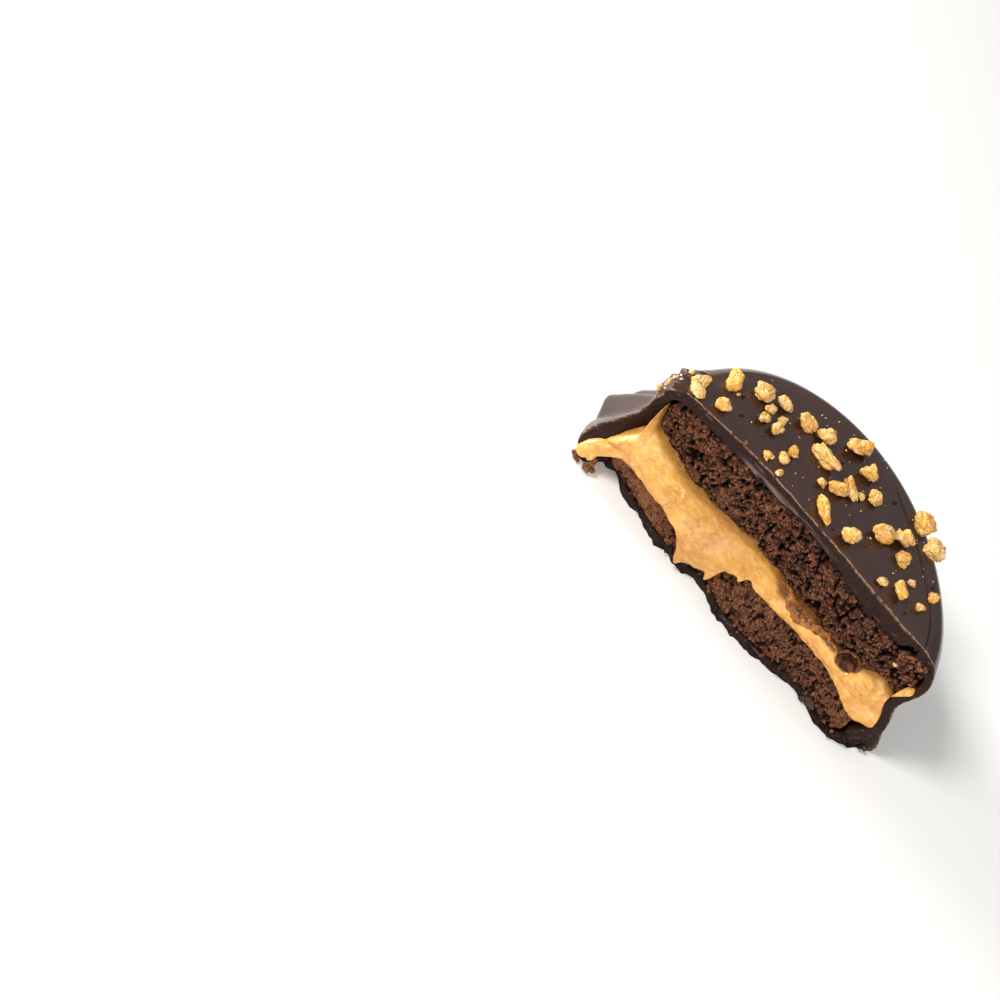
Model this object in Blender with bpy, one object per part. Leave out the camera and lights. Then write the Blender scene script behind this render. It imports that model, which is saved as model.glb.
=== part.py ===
"""Half of a peanut alfajor as it was cut, lying on its base with the cut facing -Y.

Two cocoa biscuits hold a thick layer of peanut cream, which bulges out of the cut and sags over the lower
one. A dark chocolate coat closes round them and has peanut praline bits stuck to its top. The origin is on
the underside, at the foot of the axis that the biscuit had when it was whole. +X runs along the cut.
"""

import math

import bmesh
import bpy
import numpy as np

# Sizes are in millimetres and angles in radians. A mesh is turned to metres as it is made.
MM = 0.001
GAP = 0.3

# The outline seen from above is a slightly drawn-out circle round this centre.
CENTRE_X = -0.5
CENTRE_Y = -2.0
RADIUS = 29.9
OVAL = 1.2
OVAL_ANGLE = math.radians(135)

# Height of the chocolate's flat top and of its floor, and of the two biscuits.
HEIGHT = 24.0
ROOF = 22.0
FLOOR = 1.2
UPPER_TOP = ROOF - GAP
UPPER_BOTTOM = 12.0
LOWER_TOP = 8.3
LOWER_BOTTOM = FLOOR + GAP

# Pairs of height and distance beyond the outline, for the coat's outside and inside and each biscuit's edge.
OUTER = ((0, 1.2), (0.5, 2.1), (1.6, 2.5), (5, 2.1), (9, 1.3), (12, 0.5), (14, 0.1), (16.5, 0.3),
         (19, 0.6), (21, 0.3), (22.7, -0.8), (23.6, -2.3), (HEIGHT, -4))
INNER = ((FLOOR, 0.2), (1.9, 0.9), (3.3, 0.8), (5, 0.4), (7, 0), (9, -0.5), (12, -1.3), (14, -1.7),
         (16.5, -1.5), (19, -1.3), (20.6, -1.8), (21.6, -3), (ROOF, -4.6))
UPPER_EDGE = ((UPPER_BOTTOM, -4.2), (12.8, -2.9), (14, -2.2), (16, -1.9), (18, -1.7), (20, -1.8),
              (21.1, -2.9), (UPPER_TOP, -5))
LOWER_EDGE = ((LOWER_BOTTOM, -2.4), (2.5, -1.2), (4, -1), (6, -1), (7.5, -1.2), (LOWER_TOP, -2.6))

# The foot of the coat flares out at the two ends of the cut, and its right wall is thicker than its left.
# Each hump of the right wall has its height, its half width upwards and how far it stands out.
LOBE = math.radians(26)
FLARE_TOP = 15.0
FLARE_DEPTH = 13.0
FLARE_POWER = 1.2
LEFT_FLARE = 4.2
LEFT_ANGLE = math.radians(152)
RIGHT_FLARE = 3.5
RIGHT_HUMPS = ((16, 4.5, 2.1), (8.5, 2.8, 0.9))
RIGHT_WALL = 0.6
LEFT_THINNING = 0.6

# Pairs of height and distance for the coat's ends beside the cut, outside and inside. On the left it curls
# out as a narrow lip, and on the right it fills the corner under its top.
LIP_ANGLE = math.radians(11)
LIP_OUTSIDE = ((0, 0.6), (2, 1.2), (4.5, 1.8), (13.5, 2), (17.4, 1.1), (20.6, 0.8), (HEIGHT, 1.4))
LIP_INSIDE = ((0, 0.5), (4, 0.9), (9, 0.9), (13, 0.5), (19.6, 0.8), (ROOF, 1))
CORNER_OUTSIDE = ((0, 0), (16, 0), (20.3, 0.8), (HEIGHT, 1.2))
CORNER_INSIDE = ((0, 0), (13, 0), (20, 1.1), (ROOF, 1.2))

# How much further the upper biscuit reaches at the right and left ends of the cut, and the least room that it
# leaves to the coat's inside.
UPPER_RIGHT = 2.6
UPPER_LEFT = 1.6
EDGE_ROOM = 0.4

# Pairs of X and Y along the cut: the coat's broken edge at the base and at the top, and each biscuit's face.
COAT_FOOT = ((-36, -1.6), (-31.6, -1.8), (-30.2, 0.6), (-28.4, 1.2), (-23.4, -1.2), (-19, -2.6), (-13, -4.1),
             (-9, -3.9), (-6, -2.8), (-2.6, -4), (1.4, -5.6), (10.5, -5.7), (15.5, -4.5), (22, -4.6),
             (26, -6.7), (30.8, -4.6), (35.5, -1.6))
COAT_TOP = ((-32, -0.2), (-26, 0.3), (-18, 1.1), (-4, 0.7), (5.5, 0.1), (15.4, -0.9), (25, -1.7), (32, -1.8))
BAND_FOOT = ((-32, -0.6), (-20, 0.3), (-10, 0.2), (-2, 0.3), (5, -0.5), (12, -2.4), (22, -3.3), (27, -2.6),
             (32, -2.2))
UPPER_FACE = ((-30, -0.3), (-10, -0.5), (0, -0.7), (8, -1.7), (14, -2.7), (24, -3.2), (29, -2.5))
LOWER_FACE_TOP = ((-30, -1), (-20, -1.2), (-9, -1.7), (-4, -2.4), (1, -3.4), (10, -3.3), (20, -2.6),
                  (30, -1.8))
LOWER_FACE_FOOT = ((-30, 0.6), (-24, -1), (-20, -2.3), (-16, -3.1), (-12.5, -4), (-9, -3.7), (-5, -2.8),
                   (0, -5), (10, -5.3), (16, -4.3), (21, -4.6), (25.5, -6.4), (28.5, -5.6), (31, -4.2))

# The upper biscuit's face leans back by this share of the height above this one.
UPPER_LEAN = 0.06
LEAN_FROM = 17.0

# Pairs of X and Z along the cut: the upper biscuit's lower edge, and where the cream's bulge ends below.
UPPER_SILL = ((-30, 16), (-28.2, 15.6), (-25.9, 14.1), (-22, 12.8), (-17, 12.1), (-8, 12.5), (0, 12.2),
              (7, 11.7), (18, 12.1), (22, 12.4), (25, 13.6), (30, 14))
CREAM_SAG = ((-30.5, 2), (-28.5, 3.6), (-22, 4.6), (-14, 4.4), (-9.5, 1.9), (-6.5, 4.6), (-3, 6.5),
             (1, 8), (15, 8), (20, 7.2), (24, 6), (28, 3.4), (30, 2))

# Pairs of X and how far the cream stands out of the cut there, and the form of its swelling: the power that
# rounds it and the share that it loses towards its top. Between the biscuits it starts this far behind.
CREAM_BULGE = ((-34, 2.6), (-31, 2.6), (-28, 2.2), (-23, 3.2), (-17, 3.7), (-10, 3.3), (-4, 2.3), (3, 1.2),
               (12, 0.8), (20, 0.9), (26, 1.6), (31, 1))
SWELL_POWER = 0.45
SWELL_LOSS = 0.25
CREAM_LEVELS = (0, 0.1, 0.25, 0.42, 0.6, 0.78, 0.92, 1)
HIDDEN = 2.0
CREAM_RISE = 0.9
THINNEST = 0.05

# Each large praline bit on the top: X, Y, length, width and turn in degrees.
LARGE_BITS = ((-29, 4.4, 4.8, 2.8, 58), (-28.3, 1.6, 3.6, 2.8, 0), (-25.1, 9.7, 4.7, 3.6, -50),
              (-24, 3.3, 3.1, 2.7, 20), (-20, 13, 4.4, 3.2, 22), (-16.4, 15, 4, 2.7, 30),
              (-11.6, 15.7, 4.2, 3.2, 15), (-7.6, 16.8, 3.7, 3.2, 60), (-6, 12.9, 7, 3.3, -20),
              (-2.6, 20.9, 5.2, 3.9, 38), (1.9, 18.3, 3.6, 3.3, 0), (5.1, 15, 3, 2.8, 0),
              (-0.7, 9.7, 4.8, 3, 35), (1.2, 11.9, 5.2, 2.2, -45), (-0.4, 3.4, 6.4, 2.6, -50),
              (5.5, 3.2, 4.4, 3.8, 30), (9.4, 10, 7, 3.7, 37), (12.9, 13, 3.9, 3.5, 0),
              (14.6, 9.3, 2.9, 2.6, 0), (14, 19.8, 5, 4.1, -45), (18.1, 16.6, 4.5, 3.7, 20),
              (17.4, 3.3, 3.7, 2.8, -50))

# Each group of small bits: X, Y, how many, how far they spread and their mean length.
SMALL_BITS = ((-16.2, 10.2, 4, 2, 2.7), (-11.4, 3.4, 3, 1.9, 2.2), (-10.3, 8, 1, 0, 2.7),
              (-3.6, 8, 1, 0, 2.2), (3.1, 13.1, 1, 0, 1.7), (14, 1.8, 1, 0, 2.1), (20.8, 6.6, 3, 2.6, 2))
BIT_SEED = 7
BIT_SUNK = 0.25
BIT_HEIGHT = 0.8
BIT_RADIUS = 0.55
BIT_ROUGHNESS = 0.14
SMALL_WIDTH = 0.8
SMALL_SPREAD = 0.15
SHOULDER_FROM = 19.0

# A round pit where a bubble was, in the upper biscuit's lower edge and the cream under it.
PIT_X = 20.8
PIT_Z = 12.6
PIT_RADIUS = 2.4
PIT_DEPTH = 1.7

# The crumb of the broken biscuits: how far it stands in and out, and how wide its lumps are.
CRUMB_DEPTH = 0.7
CRUMB_WIDTH = 2.6
EDGE_ROUNDING = 0.25

# Side of the table of numbers behind the lumps, steps of each search for a meeting point, how much further a
# slanting face is moved than a level one when a body is grown, and the angle from which an edge looks sharp.
TABLE = 64
SEARCH_STEPS = 20
SLANT_GROWTH = 1.3
SHARP = math.radians(40)

# Insets of the smaller outlines that round a body off, each with the Y of its straight front.
END_RINGS = ((4, 3), (9, 6), (14, 8))

# Steps round the back and along the cut, for each kind of body.
COAT_STEPS = (52, 46)
SPACE_STEPS = (44, 4)
BISCUIT_STEPS = (36, 38)
CREAM_STEPS = (40, 44)

# Y of the front of the space that is cut out of the coat, well in front of the cut.
SPACE_FRONT = -16.0

# Linear colours.
DARK_CHOCOLATE = (0.045, 0.022, 0.017)
COCOA_CRUMB = (0.095, 0.038, 0.022)
PEANUT_CREAM = (0.62, 0.33, 0.115)


def through(x, knots):
    """Smooth line through pairs of place and value: a cubic between each two, with the mean slope at each."""
    at, value = np.transpose(knots).astype(float)
    slope = np.gradient(value, at)
    i = np.clip(np.searchsorted(at, x) - 1, 0, len(at) - 2)
    span = at[i + 1] - at[i]
    t = np.clip((x - at[i]) / span, 0, 1)
    ease = t * t * (3 - 2 * t)
    bend = slope[i] * t * (1 - t) ** 2 - slope[i + 1] * t * t * (1 - t)
    return value[i] + (value[i + 1] - value[i]) * ease + span * bend


def lumps(x, z, width, seed):
    """Value noise from -1 to 1: seeded numbers on a grid of this width, with smooth steps between them."""
    table = np.random.default_rng(seed).uniform(-1, 1, (TABLE, TABLE))
    u, v = np.asarray(x) / width, np.asarray(z) / width
    i, j = np.floor(u).astype(int), np.floor(v).astype(int)
    s, t = u - i, v - j
    s, t = s * s * (3 - 2 * s), t * t * (3 - 2 * t)
    left, right = i % TABLE, (i + 1) % TABLE
    below, above = j % TABLE, (j + 1) % TABLE
    low = table[left, below] * (1 - s) + table[right, below] * s
    high = table[left, above] * (1 - s) + table[right, above] * s
    return low * (1 - t) + high * t


def lobe(angle, centre, width=LOBE):
    """A soft hump of height 1 round this angle."""
    return np.exp(-(((angle - centre) / width) ** 2))


def plan_radius(angle):
    """Distance of the outline from the centre: the radius, drawn out along one diameter."""
    return RADIUS + OVAL * np.cos(2 * (angle - OVAL_ANGLE))


def flare(angle, z):
    """How far the coat stands out at the ends of the cut, most at its foot and nothing above the waist."""
    depth = np.clip((FLARE_TOP - z) / FLARE_DEPTH, 0, 1) ** FLARE_POWER
    foot = LEFT_FLARE * lobe(angle, LEFT_ANGLE) + RIGHT_FLARE * lobe(angle, 0)
    return foot * depth


def right_bulge(angle, z):
    """The fuller middle of the right wall, as a sum of humps."""
    humps = sum(reach * np.exp(-(((z - at) / width) ** 2)) for at, width, reach in RIGHT_HUMPS)
    return lobe(angle, 0) * humps


def curl(angle, z, lip, corner):
    """How far the coat's ends stand out beside the cut: the lip on the left and the corner on the right."""
    return through(z, lip) * lobe(angle, math.pi, LIP_ANGLE) + through(z, corner) * lobe(angle, 0)


def outer_edge(angle, z):
    """Coat's outside, as a distance beyond the outline."""
    ends = curl(angle, z, LIP_OUTSIDE, CORNER_OUTSIDE)
    return through(z, OUTER) + flare(angle, z) + right_bulge(angle, z) + ends


def inner_edge(angle, z):
    """Coat's inside, as a distance beyond the outline."""
    walls = LEFT_THINNING * lobe(angle, math.pi) - RIGHT_WALL * lobe(angle, 0)
    ends = curl(angle, z, LIP_INSIDE, CORNER_INSIDE)
    return through(z, INNER) + flare(angle, z) + right_bulge(angle, z) + walls + ends


def coat_face(x, z):
    """Y of the coat's broken face: from the base to the roof's lower edge, then leaning back to the top."""
    rise = np.clip(z / ROOF, 0, 1)
    band = np.clip((z - ROOF) / (HEIGHT - ROOF), 0, 1)
    wall = through(x, COAT_FOOT) * (1 - rise) + through(x, BAND_FOOT) * rise
    return wall * (1 - band) + through(x, COAT_TOP) * band


def pit(x, z):
    """Depth of the round pit: a bowl with a soft rim."""
    away = np.hypot(x - PIT_X, z - PIT_Z) / PIT_RADIUS
    return PIT_DEPTH * np.exp(-(away ** 2))


def upper_face(x, z):
    """Y of the upper biscuit's broken face, with its crumb and its pit."""
    plain = through(x, UPPER_FACE) + UPPER_LEAN * (z - LEAN_FROM)
    return plain + CRUMB_DEPTH * lumps(x, z, CRUMB_WIDTH, 1) + pit(x, z)


def lower_face(x, z):
    """Y of the lower biscuit's broken face, with its crumb. It slants outwards to its foot."""
    rise = np.clip((z - LOWER_BOTTOM) / (LOWER_TOP - LOWER_BOTTOM), 0, 1)
    plain = through(x, LOWER_FACE_FOOT) * (1 - rise) + through(x, LOWER_FACE_TOP) * rise
    return plain + CRUMB_DEPTH * lumps(x, z, CRUMB_WIDTH, 2)


def metre_mesh(name, points, faces):
    """A mesh object from points in millimetres."""
    mesh = bpy.data.meshes.new(name)
    mesh.from_pydata((np.asarray(points) * MM).tolist(), [], faces)
    mesh.shade_smooth()
    mesh.set_sharp_from_angle(angle=SHARP)
    obj = bpy.data.objects.new(name, mesh)
    bpy.context.scene.collection.objects.link(obj)
    return obj


def cut_end(side, height, back, front):
    """Angle where an outline meets the cut, on side 0 the right and on side 1 the left, by repeated steps."""
    angle = side * math.pi
    for _ in range(SEARCH_STEPS):
        z = height(CENTRE_X + plan_radius(angle) * math.cos(angle))
        reach = plan_radius(angle) + back(angle, z)
        x = CENTRE_X + reach * math.cos(angle)
        dip = math.asin((front(x, height(x)) - CENTRE_Y) / reach)
        angle = math.pi - dip if side else dip
    return angle


def outline(height, back, front, steps):
    """Points of one closed outline: round the back from the right end of the cut to its left, then along it.

    height(x) gives Z, back(angle, z) the distance beyond the outline and front(x, z) the cut's Y. steps are
    those round the back and those along the cut.
    """
    arc_steps, cut_steps = steps
    right, left = cut_end(0, height, back, front), cut_end(1, height, back, front)
    angles = np.linspace(right, left, arc_steps + 1)
    x = CENTRE_X + plan_radius(angles) * np.cos(angles)
    reach = plan_radius(angles) + back(angles, height(x))
    x = CENTRE_X + reach * np.cos(angles)
    arc = np.column_stack([x, CENTRE_Y + reach * np.sin(angles), height(x)])
    x = np.linspace(arc[-1, 0], arc[0, 0], cut_steps + 1)[1:-1]
    z = height(x)
    return np.vstack([arc, np.column_stack([x, front(x, z), z])])


def end_rings(height, edge, steps):
    """Smaller and smaller outlines across a body's curved end, with the cut's side drawn back straight."""
    rings = []
    for inset, straight in END_RINGS:
        def back(angle, z, inset=inset):
            return edge(angle, z) - inset

        rings.append(outline(height, back, level_line(straight), steps))
    return rings


def stacked_body(name, outlines):
    """One closed body: outlines from the bottom up, joined by quads and closed by a face at each end."""
    count = len(outlines[0])
    faces = [tuple(range(count))[::-1]]
    for level in range(len(outlines) - 1):
        low, high = level * count, (level + 1) * count
        for i in range(count):
            j = (i + 1) % count
            faces.append((low + i, low + j, high + j, high + i))
    top = (len(outlines) - 1) * count
    faces.append(tuple(range(top, top + count)))
    return metre_mesh(name, np.vstack(outlines), faces)


def flat(z):
    """A level height for every X."""
    return lambda x: z + 0 * np.asarray(x, float)


def level_line(y):
    """A straight cut at this Y."""
    return lambda x, z: y + 0 * np.asarray(x, float)


def cutter(obj):
    """Marks a helper that only cuts."""
    obj.hide_render = True
    obj.display_type = "WIRE"
    return obj


def boolean(obj, operation, other):
    """Adds a Boolean with an object, or with all that a collection holds."""
    modifier = obj.modifiers.new(operation.title(), "BOOLEAN")
    modifier.operation = operation
    modifier.solver = "EXACT"
    if isinstance(other, bpy.types.Collection):
        modifier.operand_type = "COLLECTION"
        modifier.collection = other
    else:
        modifier.object = other


def apply_modifiers(obj):
    """Turns the object's mesh into what its modifiers make of it."""
    bpy.context.view_layer.update()
    graph = bpy.context.evaluated_depsgraph_get()
    mesh = bpy.data.meshes.new_from_object(obj.evaluated_get(graph))
    obj.modifiers.clear()
    obj.data = mesh


def finish_as(obj, colour, roughness):
    """Gives the object its own food-like material."""
    material = bpy.data.materials.new(obj.name)
    material.use_nodes = True
    shader = material.node_tree.nodes["Principled BSDF"]
    shader.inputs["Base Color"].default_value = (*colour, 1)
    shader.inputs["Roughness"].default_value = roughness
    shader.inputs["Metallic"].default_value = 0
    obj.data.materials.clear()
    obj.data.materials.append(material)


def praline_sizes():
    """X, Y, length, width and turn of every bit. Small ones lie in a ring round their group's place."""
    draw = np.random.default_rng(BIT_SEED)
    bits = [(x, y, length, width, math.radians(turn)) for x, y, length, width, turn in LARGE_BITS]
    for x, y, count, spread, mean in SMALL_BITS:
        turn = draw.uniform(0, 2 * math.pi)
        for k in range(count):
            angle = turn + 2 * math.pi * k / count
            length = mean * draw.uniform(1 - SMALL_SPREAD, 1 + SMALL_SPREAD)
            place = (x + spread * math.cos(angle), y + spread * math.sin(angle))
            bits.append((*place, length, SMALL_WIDTH * length, 2 * angle))
    return bits


def top_height(x, y):
    """Height of the chocolate's outside over this place: flat, then round the shoulder to its widest ring."""
    angle = math.atan2(y - CENTRE_Y, x - CENTRE_X)
    beyond = math.hypot(x - CENTRE_X, y - CENTRE_Y) - plan_radius(angle)
    rings = [(distance, z) for z, distance in reversed(OUTER) if z >= SHOULDER_FROM]
    return float(np.interp(beyond, *np.transpose(rings)))


def praline_bit(bit, draw, collection):
    """A lumpy bit: an icosahedron drawn out, turned and made uneven, its lower part sunk in the chocolate."""
    x, y, length, width, turn = bit
    shape = bmesh.new()
    bmesh.ops.create_icosphere(shape, subdivisions=1, radius=BIT_RADIUS)
    height = BIT_HEIGHT * width
    base = top_height(x, y)
    for vertex in shape.verts:
        u, v, w = vertex.co * (1 + draw.uniform(-BIT_ROUGHNESS, BIT_ROUGHNESS))
        u, v = u * length, v * width
        vertex.co.x = (x + u * math.cos(turn) - v * math.sin(turn)) * MM
        vertex.co.y = (y + u * math.sin(turn) + v * math.cos(turn)) * MM
        vertex.co.z = (base + height * (w + 0.5 - BIT_SUNK)) * MM
    mesh = bpy.data.meshes.new("praline_bit")
    shape.to_mesh(mesh)
    shape.free()
    collection.objects.link(bpy.data.objects.new("praline_bit", mesh))


def add_praline(body):
    """Fuses every praline bit to the body's top."""
    bits = bpy.data.collections.new("praline_bits")
    bpy.context.scene.collection.children.link(bits)
    draw = np.random.default_rng(BIT_SEED + 1)
    for bit in praline_sizes():
        praline_bit(bit, draw, bits)
    boolean(body, "UNION", bits)
    apply_modifiers(body)
    for bit in list(bits.objects):
        bpy.data.objects.remove(bit)
    bpy.data.collections.remove(bits)


def chocolate_coat():
    """The coat: the outer body less the space that the biscuits and the cream fill, with its praline bits."""
    outside = [outline(flat(z), outer_edge, coat_face, COAT_STEPS) for z, _ in OUTER]
    inside = [outline(flat(z), inner_edge, level_line(SPACE_FRONT), SPACE_STEPS) for z, _ in INNER]
    body = stacked_body("chocolate_coat", outside)
    boolean(body, "DIFFERENCE", cutter(stacked_body("coat_space", inside)))
    apply_modifiers(body)
    add_praline(body)
    finish_as(body, DARK_CHOCOLATE, 0.32)


def upper_biscuit(name, grow):
    """The upper biscuit's body, grown by this much on every side. Its lower edge follows the sill."""
    def height_at(level):
        share = (UPPER_TOP - level) / (UPPER_TOP - UPPER_BOTTOM)
        move = grow * (1 - 2 * share)
        return lambda x: UPPER_TOP - share * (UPPER_TOP - through(x, UPPER_SILL)) + move

    def edge_at(offset):
        def edge(angle, z):
            room = inner_edge(angle, np.clip(z, FLOOR, ROOF)) - EDGE_ROOM
            ends = UPPER_RIGHT * lobe(angle, 0) + UPPER_LEFT * lobe(angle, math.pi)
            return np.minimum(offset + ends, room) + grow
        return edge

    def face_at(offset):
        middle = UPPER_EDGE[4][1]
        return lambda x, z: upper_face(x, z) - SLANT_GROWTH * grow - EDGE_ROUNDING * (offset - middle)

    outlines = [outline(height_at(z), edge_at(offset), face_at(offset), BISCUIT_STEPS)
                for z, offset in UPPER_EDGE]
    underside = end_rings(height_at(UPPER_BOTTOM), edge_at(UPPER_EDGE[0][1]), BISCUIT_STEPS)
    return stacked_body(name, underside[::-1] + outlines)


def lower_biscuit(name, grow):
    """The lower biscuit's body, grown by this much on every side."""
    def height_at(level):
        share = (LOWER_TOP - level) / (LOWER_TOP - LOWER_BOTTOM)
        return flat(level + grow * (1 - 2 * share))

    def edge_at(offset):
        return lambda angle, z: offset + grow

    def face_at(offset):
        middle = LOWER_EDGE[2][1]
        return lambda x, z: lower_face(x, z) - SLANT_GROWTH * grow - EDGE_ROUNDING * (offset - middle)

    outlines = [outline(height_at(z), edge_at(offset), face_at(offset), BISCUIT_STEPS)
                for z, offset in LOWER_EDGE]
    return stacked_body(name, outlines)


def cream_front(share):
    """Y of the cream's front at this share of the way up from its sag to the upper biscuit's lower edge."""
    def front(x, z):
        low = through(x, LOWER_FACE_TOP)
        high = through(x, UPPER_FACE)
        swell = through(x, CREAM_BULGE) * (4 * share * (1 - share)) ** SWELL_POWER
        return low * (1 - share) + high * share - swell * (1 - SWELL_LOSS * share) + pit(x, z)
    return front


def cream_height(share):
    """Z along the cream at this share of the way up from its sag to the upper biscuit's lower edge."""
    def height(x):
        sag = through(x, CREAM_SAG)
        return sag + share * (through(x, UPPER_SILL) - GAP - sag)
    return height


def below_sag(x):
    """Z of the cream's hidden part just under its sag."""
    return np.maximum(through(x, CREAM_SAG) - GAP, LOWER_BOTTOM + THINNEST)


def peanut_filling():
    """The cream: it fills what the biscuits leave of the coat's inside, and its front bulges and sags."""
    def edge(angle, z):
        return inner_edge(angle, np.clip(z, FLOOR, ROOF)) - GAP

    behind = level_line(HIDDEN)
    levels = [(flat(LOWER_BOTTOM), behind), (below_sag, behind)]
    levels += [(cream_height(share), cream_front(share)) for share in CREAM_LEVELS]
    levels.append((lambda x: through(x, UPPER_SILL), behind))
    levels.append((lambda x: through(x, UPPER_SILL) + CREAM_RISE, behind))
    outlines = [outline(height, edge, front, CREAM_STEPS) for height, front in levels]
    outlines += end_rings(levels[-1][0], edge, CREAM_STEPS)
    body = stacked_body("peanut_filling", outlines)
    boolean(body, "DIFFERENCE", cutter(upper_biscuit("upper_space", GAP)))
    boolean(body, "DIFFERENCE", cutter(lower_biscuit("lower_space", GAP)))
    finish_as(body, PEANUT_CREAM, 0.38)


for old in list(bpy.data.objects):
    bpy.data.objects.remove(old)

chocolate_coat()
finish_as(upper_biscuit("upper_biscuit", 0), COCOA_CRUMB, 0.9)
finish_as(lower_biscuit("lower_biscuit", 0), COCOA_CRUMB, 0.9)
peanut_filling()
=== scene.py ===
"""Half of a peanut alfajor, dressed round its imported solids.

It is built up from the inside: both cocoa biscuits, the peanut cream between them, the chocolate that
closes round them, the praline strewn on it while it is wet, and what came loose at the cut.
Lengths are in millimetres until a mesh is made. The cut faces -Y, +X runs along it and +Z is up.
"""

import bmesh
import bpy
import numpy as np
from mathutils import Matrix, Vector


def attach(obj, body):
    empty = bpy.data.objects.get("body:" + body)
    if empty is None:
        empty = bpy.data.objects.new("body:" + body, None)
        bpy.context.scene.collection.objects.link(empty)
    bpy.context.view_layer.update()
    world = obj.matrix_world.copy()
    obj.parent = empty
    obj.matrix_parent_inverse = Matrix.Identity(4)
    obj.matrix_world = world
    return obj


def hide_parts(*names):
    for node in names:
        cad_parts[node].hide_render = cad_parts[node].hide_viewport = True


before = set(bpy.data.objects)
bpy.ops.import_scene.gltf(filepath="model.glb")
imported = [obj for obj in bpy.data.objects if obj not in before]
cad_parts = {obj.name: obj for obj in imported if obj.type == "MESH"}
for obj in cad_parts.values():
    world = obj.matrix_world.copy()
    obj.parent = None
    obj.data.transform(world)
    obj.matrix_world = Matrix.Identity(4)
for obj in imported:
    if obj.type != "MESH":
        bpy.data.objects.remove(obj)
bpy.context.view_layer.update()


# Lower cocoa biscuit
# A baked disc of soft cocoa dough, 7 mm thick, broken across when the alfajor was cut. It sits on the
# coat's floor. The break shows fine even crumb with small dark pores, and slants outwards to its foot.

MM = 0.001
CENTRE_X, CENTRE_Y = -0.5, -2.0
RADIUS = 29.9
OVAL = 1.2
OVAL_ANGLE = np.radians(135)
CRUMB_DEPTH = 0.5
CRUMB_WIDTH = 2.6
EDGE_ROUNDING = 0.25
CLUMP_HEIGHT = 0.32
GRAIN_HEIGHT = 0.26
GRAIN_SHARE = 0.52
NOISE_CELLS = 64
DISC_POINTS = 61
CUT_SEARCH_STEPS = 20
CAP_SHARES = (0, 0.35, 0.7, 0.9)
BETWEEN_CAPS = slice(len(CAP_SHARES), -len(CAP_SHARES))

LOWER_TOP = 8.3
LOWER_BOTTOM = 1.5
LOWER_CRUMB = (2, 0.9, 0.7, 0.36)
LOWER_RELIEF = 0.65
# How much paler the lower biscuit's left end is painted, as painted light.
LEFT_END_PAINTED_LIGHT = 0.85
LOWER_EDGE = ((LOWER_BOTTOM, -2.4), (2.5, -1.2), (4, -1), (6, -1), (7.5, -1.2), (LOWER_TOP, -2.6))
LOWER_FACE_TOP = ((-30, -1), (-20, -1.2), (-9, -1.7), (-4, -2.4), (1, -3.4), (10, -3.3), (20, -2.6),
                  (30, -1.8))
LOWER_FACE_FOOT = ((-30, 0.6), (-24, -1), (-20, -2.3), (-16, -3.1), (-12.5, -4), (-9, -3.7), (-5, -2.8),
                   (0, -5), (10, -5.3), (16, -4.3), (21, -4.6), (25.5, -6.4), (28.5, -5.6), (31, -4.2))


def through(x, knots):
    """Smooth line through pairs of place and value: a cubic between each two, with the mean slope at each."""
    at, value = np.transpose(knots).astype(float)
    slope = np.gradient(value, at)
    i = np.clip(np.searchsorted(at, x) - 1, 0, len(at) - 2)
    span = at[i + 1] - at[i]
    t = np.clip((x - at[i]) / span, 0, 1)
    ease = t * t * (3 - 2 * t)
    bend = slope[i] * t * (1 - t) ** 2 - slope[i + 1] * t * t * (1 - t)
    return value[i] + (value[i + 1] - value[i]) * ease + span * bend


def ramp(value, low, high):
    """0 below low, 1 above high and a smooth step between them."""
    t = np.clip((value - low) / (high - low), 0, 1)
    return t * t * (3 - 2 * t)


def stretch(value, outside, full, fading, gone):
    """1 from full to fading, 0 below outside and above gone, and smooth steps between them."""
    return ramp(value, outside, full) * ramp(-value, -gone, -fading)


def bell(value, middle, width):
    """1 at the middle, falling away on both sides as a bell of this width."""
    return np.exp(-(((value - middle) / width) ** 2))


def lumps(x, z, width, seed):
    """Value noise from -1 to 1: seeded numbers on a grid of this width, with smooth steps between them."""
    table = np.random.default_rng(seed).uniform(-1, 1, (NOISE_CELLS, NOISE_CELLS))
    u, v = np.asarray(x) / width, np.asarray(z) / width
    i, j = np.floor(u).astype(int), np.floor(v).astype(int)
    s, t = ramp(u - i, 0, 1), ramp(v - j, 0, 1)
    rows = [
        table[i % NOISE_CELLS, k % NOISE_CELLS] * (1 - s) + table[(i + 1) % NOISE_CELLS, k % NOISE_CELLS] * s
        for k in (j, j + 1)
    ]
    return rows[0] * (1 - t) + rows[1] * t


def layers(x, z, *noises):
    """Sum of value noises, each given as its height, width and seed."""
    return sum(height * lumps(x, z, width, seed) for height, width, seed in noises)


def strewn(x, z, width, seed):
    """Distance, in widths, to the nearest of points strewn one to a square of this width, and its number."""
    table = np.random.default_rng(seed).uniform(0, 1, (3, NOISE_CELLS, NOISE_CELLS))
    u, v = np.broadcast_arrays(np.asarray(x, float) / width, np.asarray(z, float) / width)
    i, j = np.floor(u).astype(int), np.floor(v).astype(int)
    nearest, number = np.full(u.shape, 9.0), np.zeros(u.shape)
    for di in (-1, 0, 1):
        for dj in (-1, 0, 1):
            a, b = (i + di) % NOISE_CELLS, (j + dj) % NOISE_CELLS
            away = np.hypot(i + di + table[0, a, b] - u, j + dj + table[1, a, b] - v)
            number = np.where(away < nearest, table[2, a, b], number)
            nearest = np.minimum(nearest, away)
    return nearest, number


def plan_radius(angle):
    """Distance of the alfajor's outline from its centre: the radius, drawn out along one diameter."""
    return RADIUS + OVAL * np.cos(2 * (angle - OVAL_ANGLE))


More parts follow.
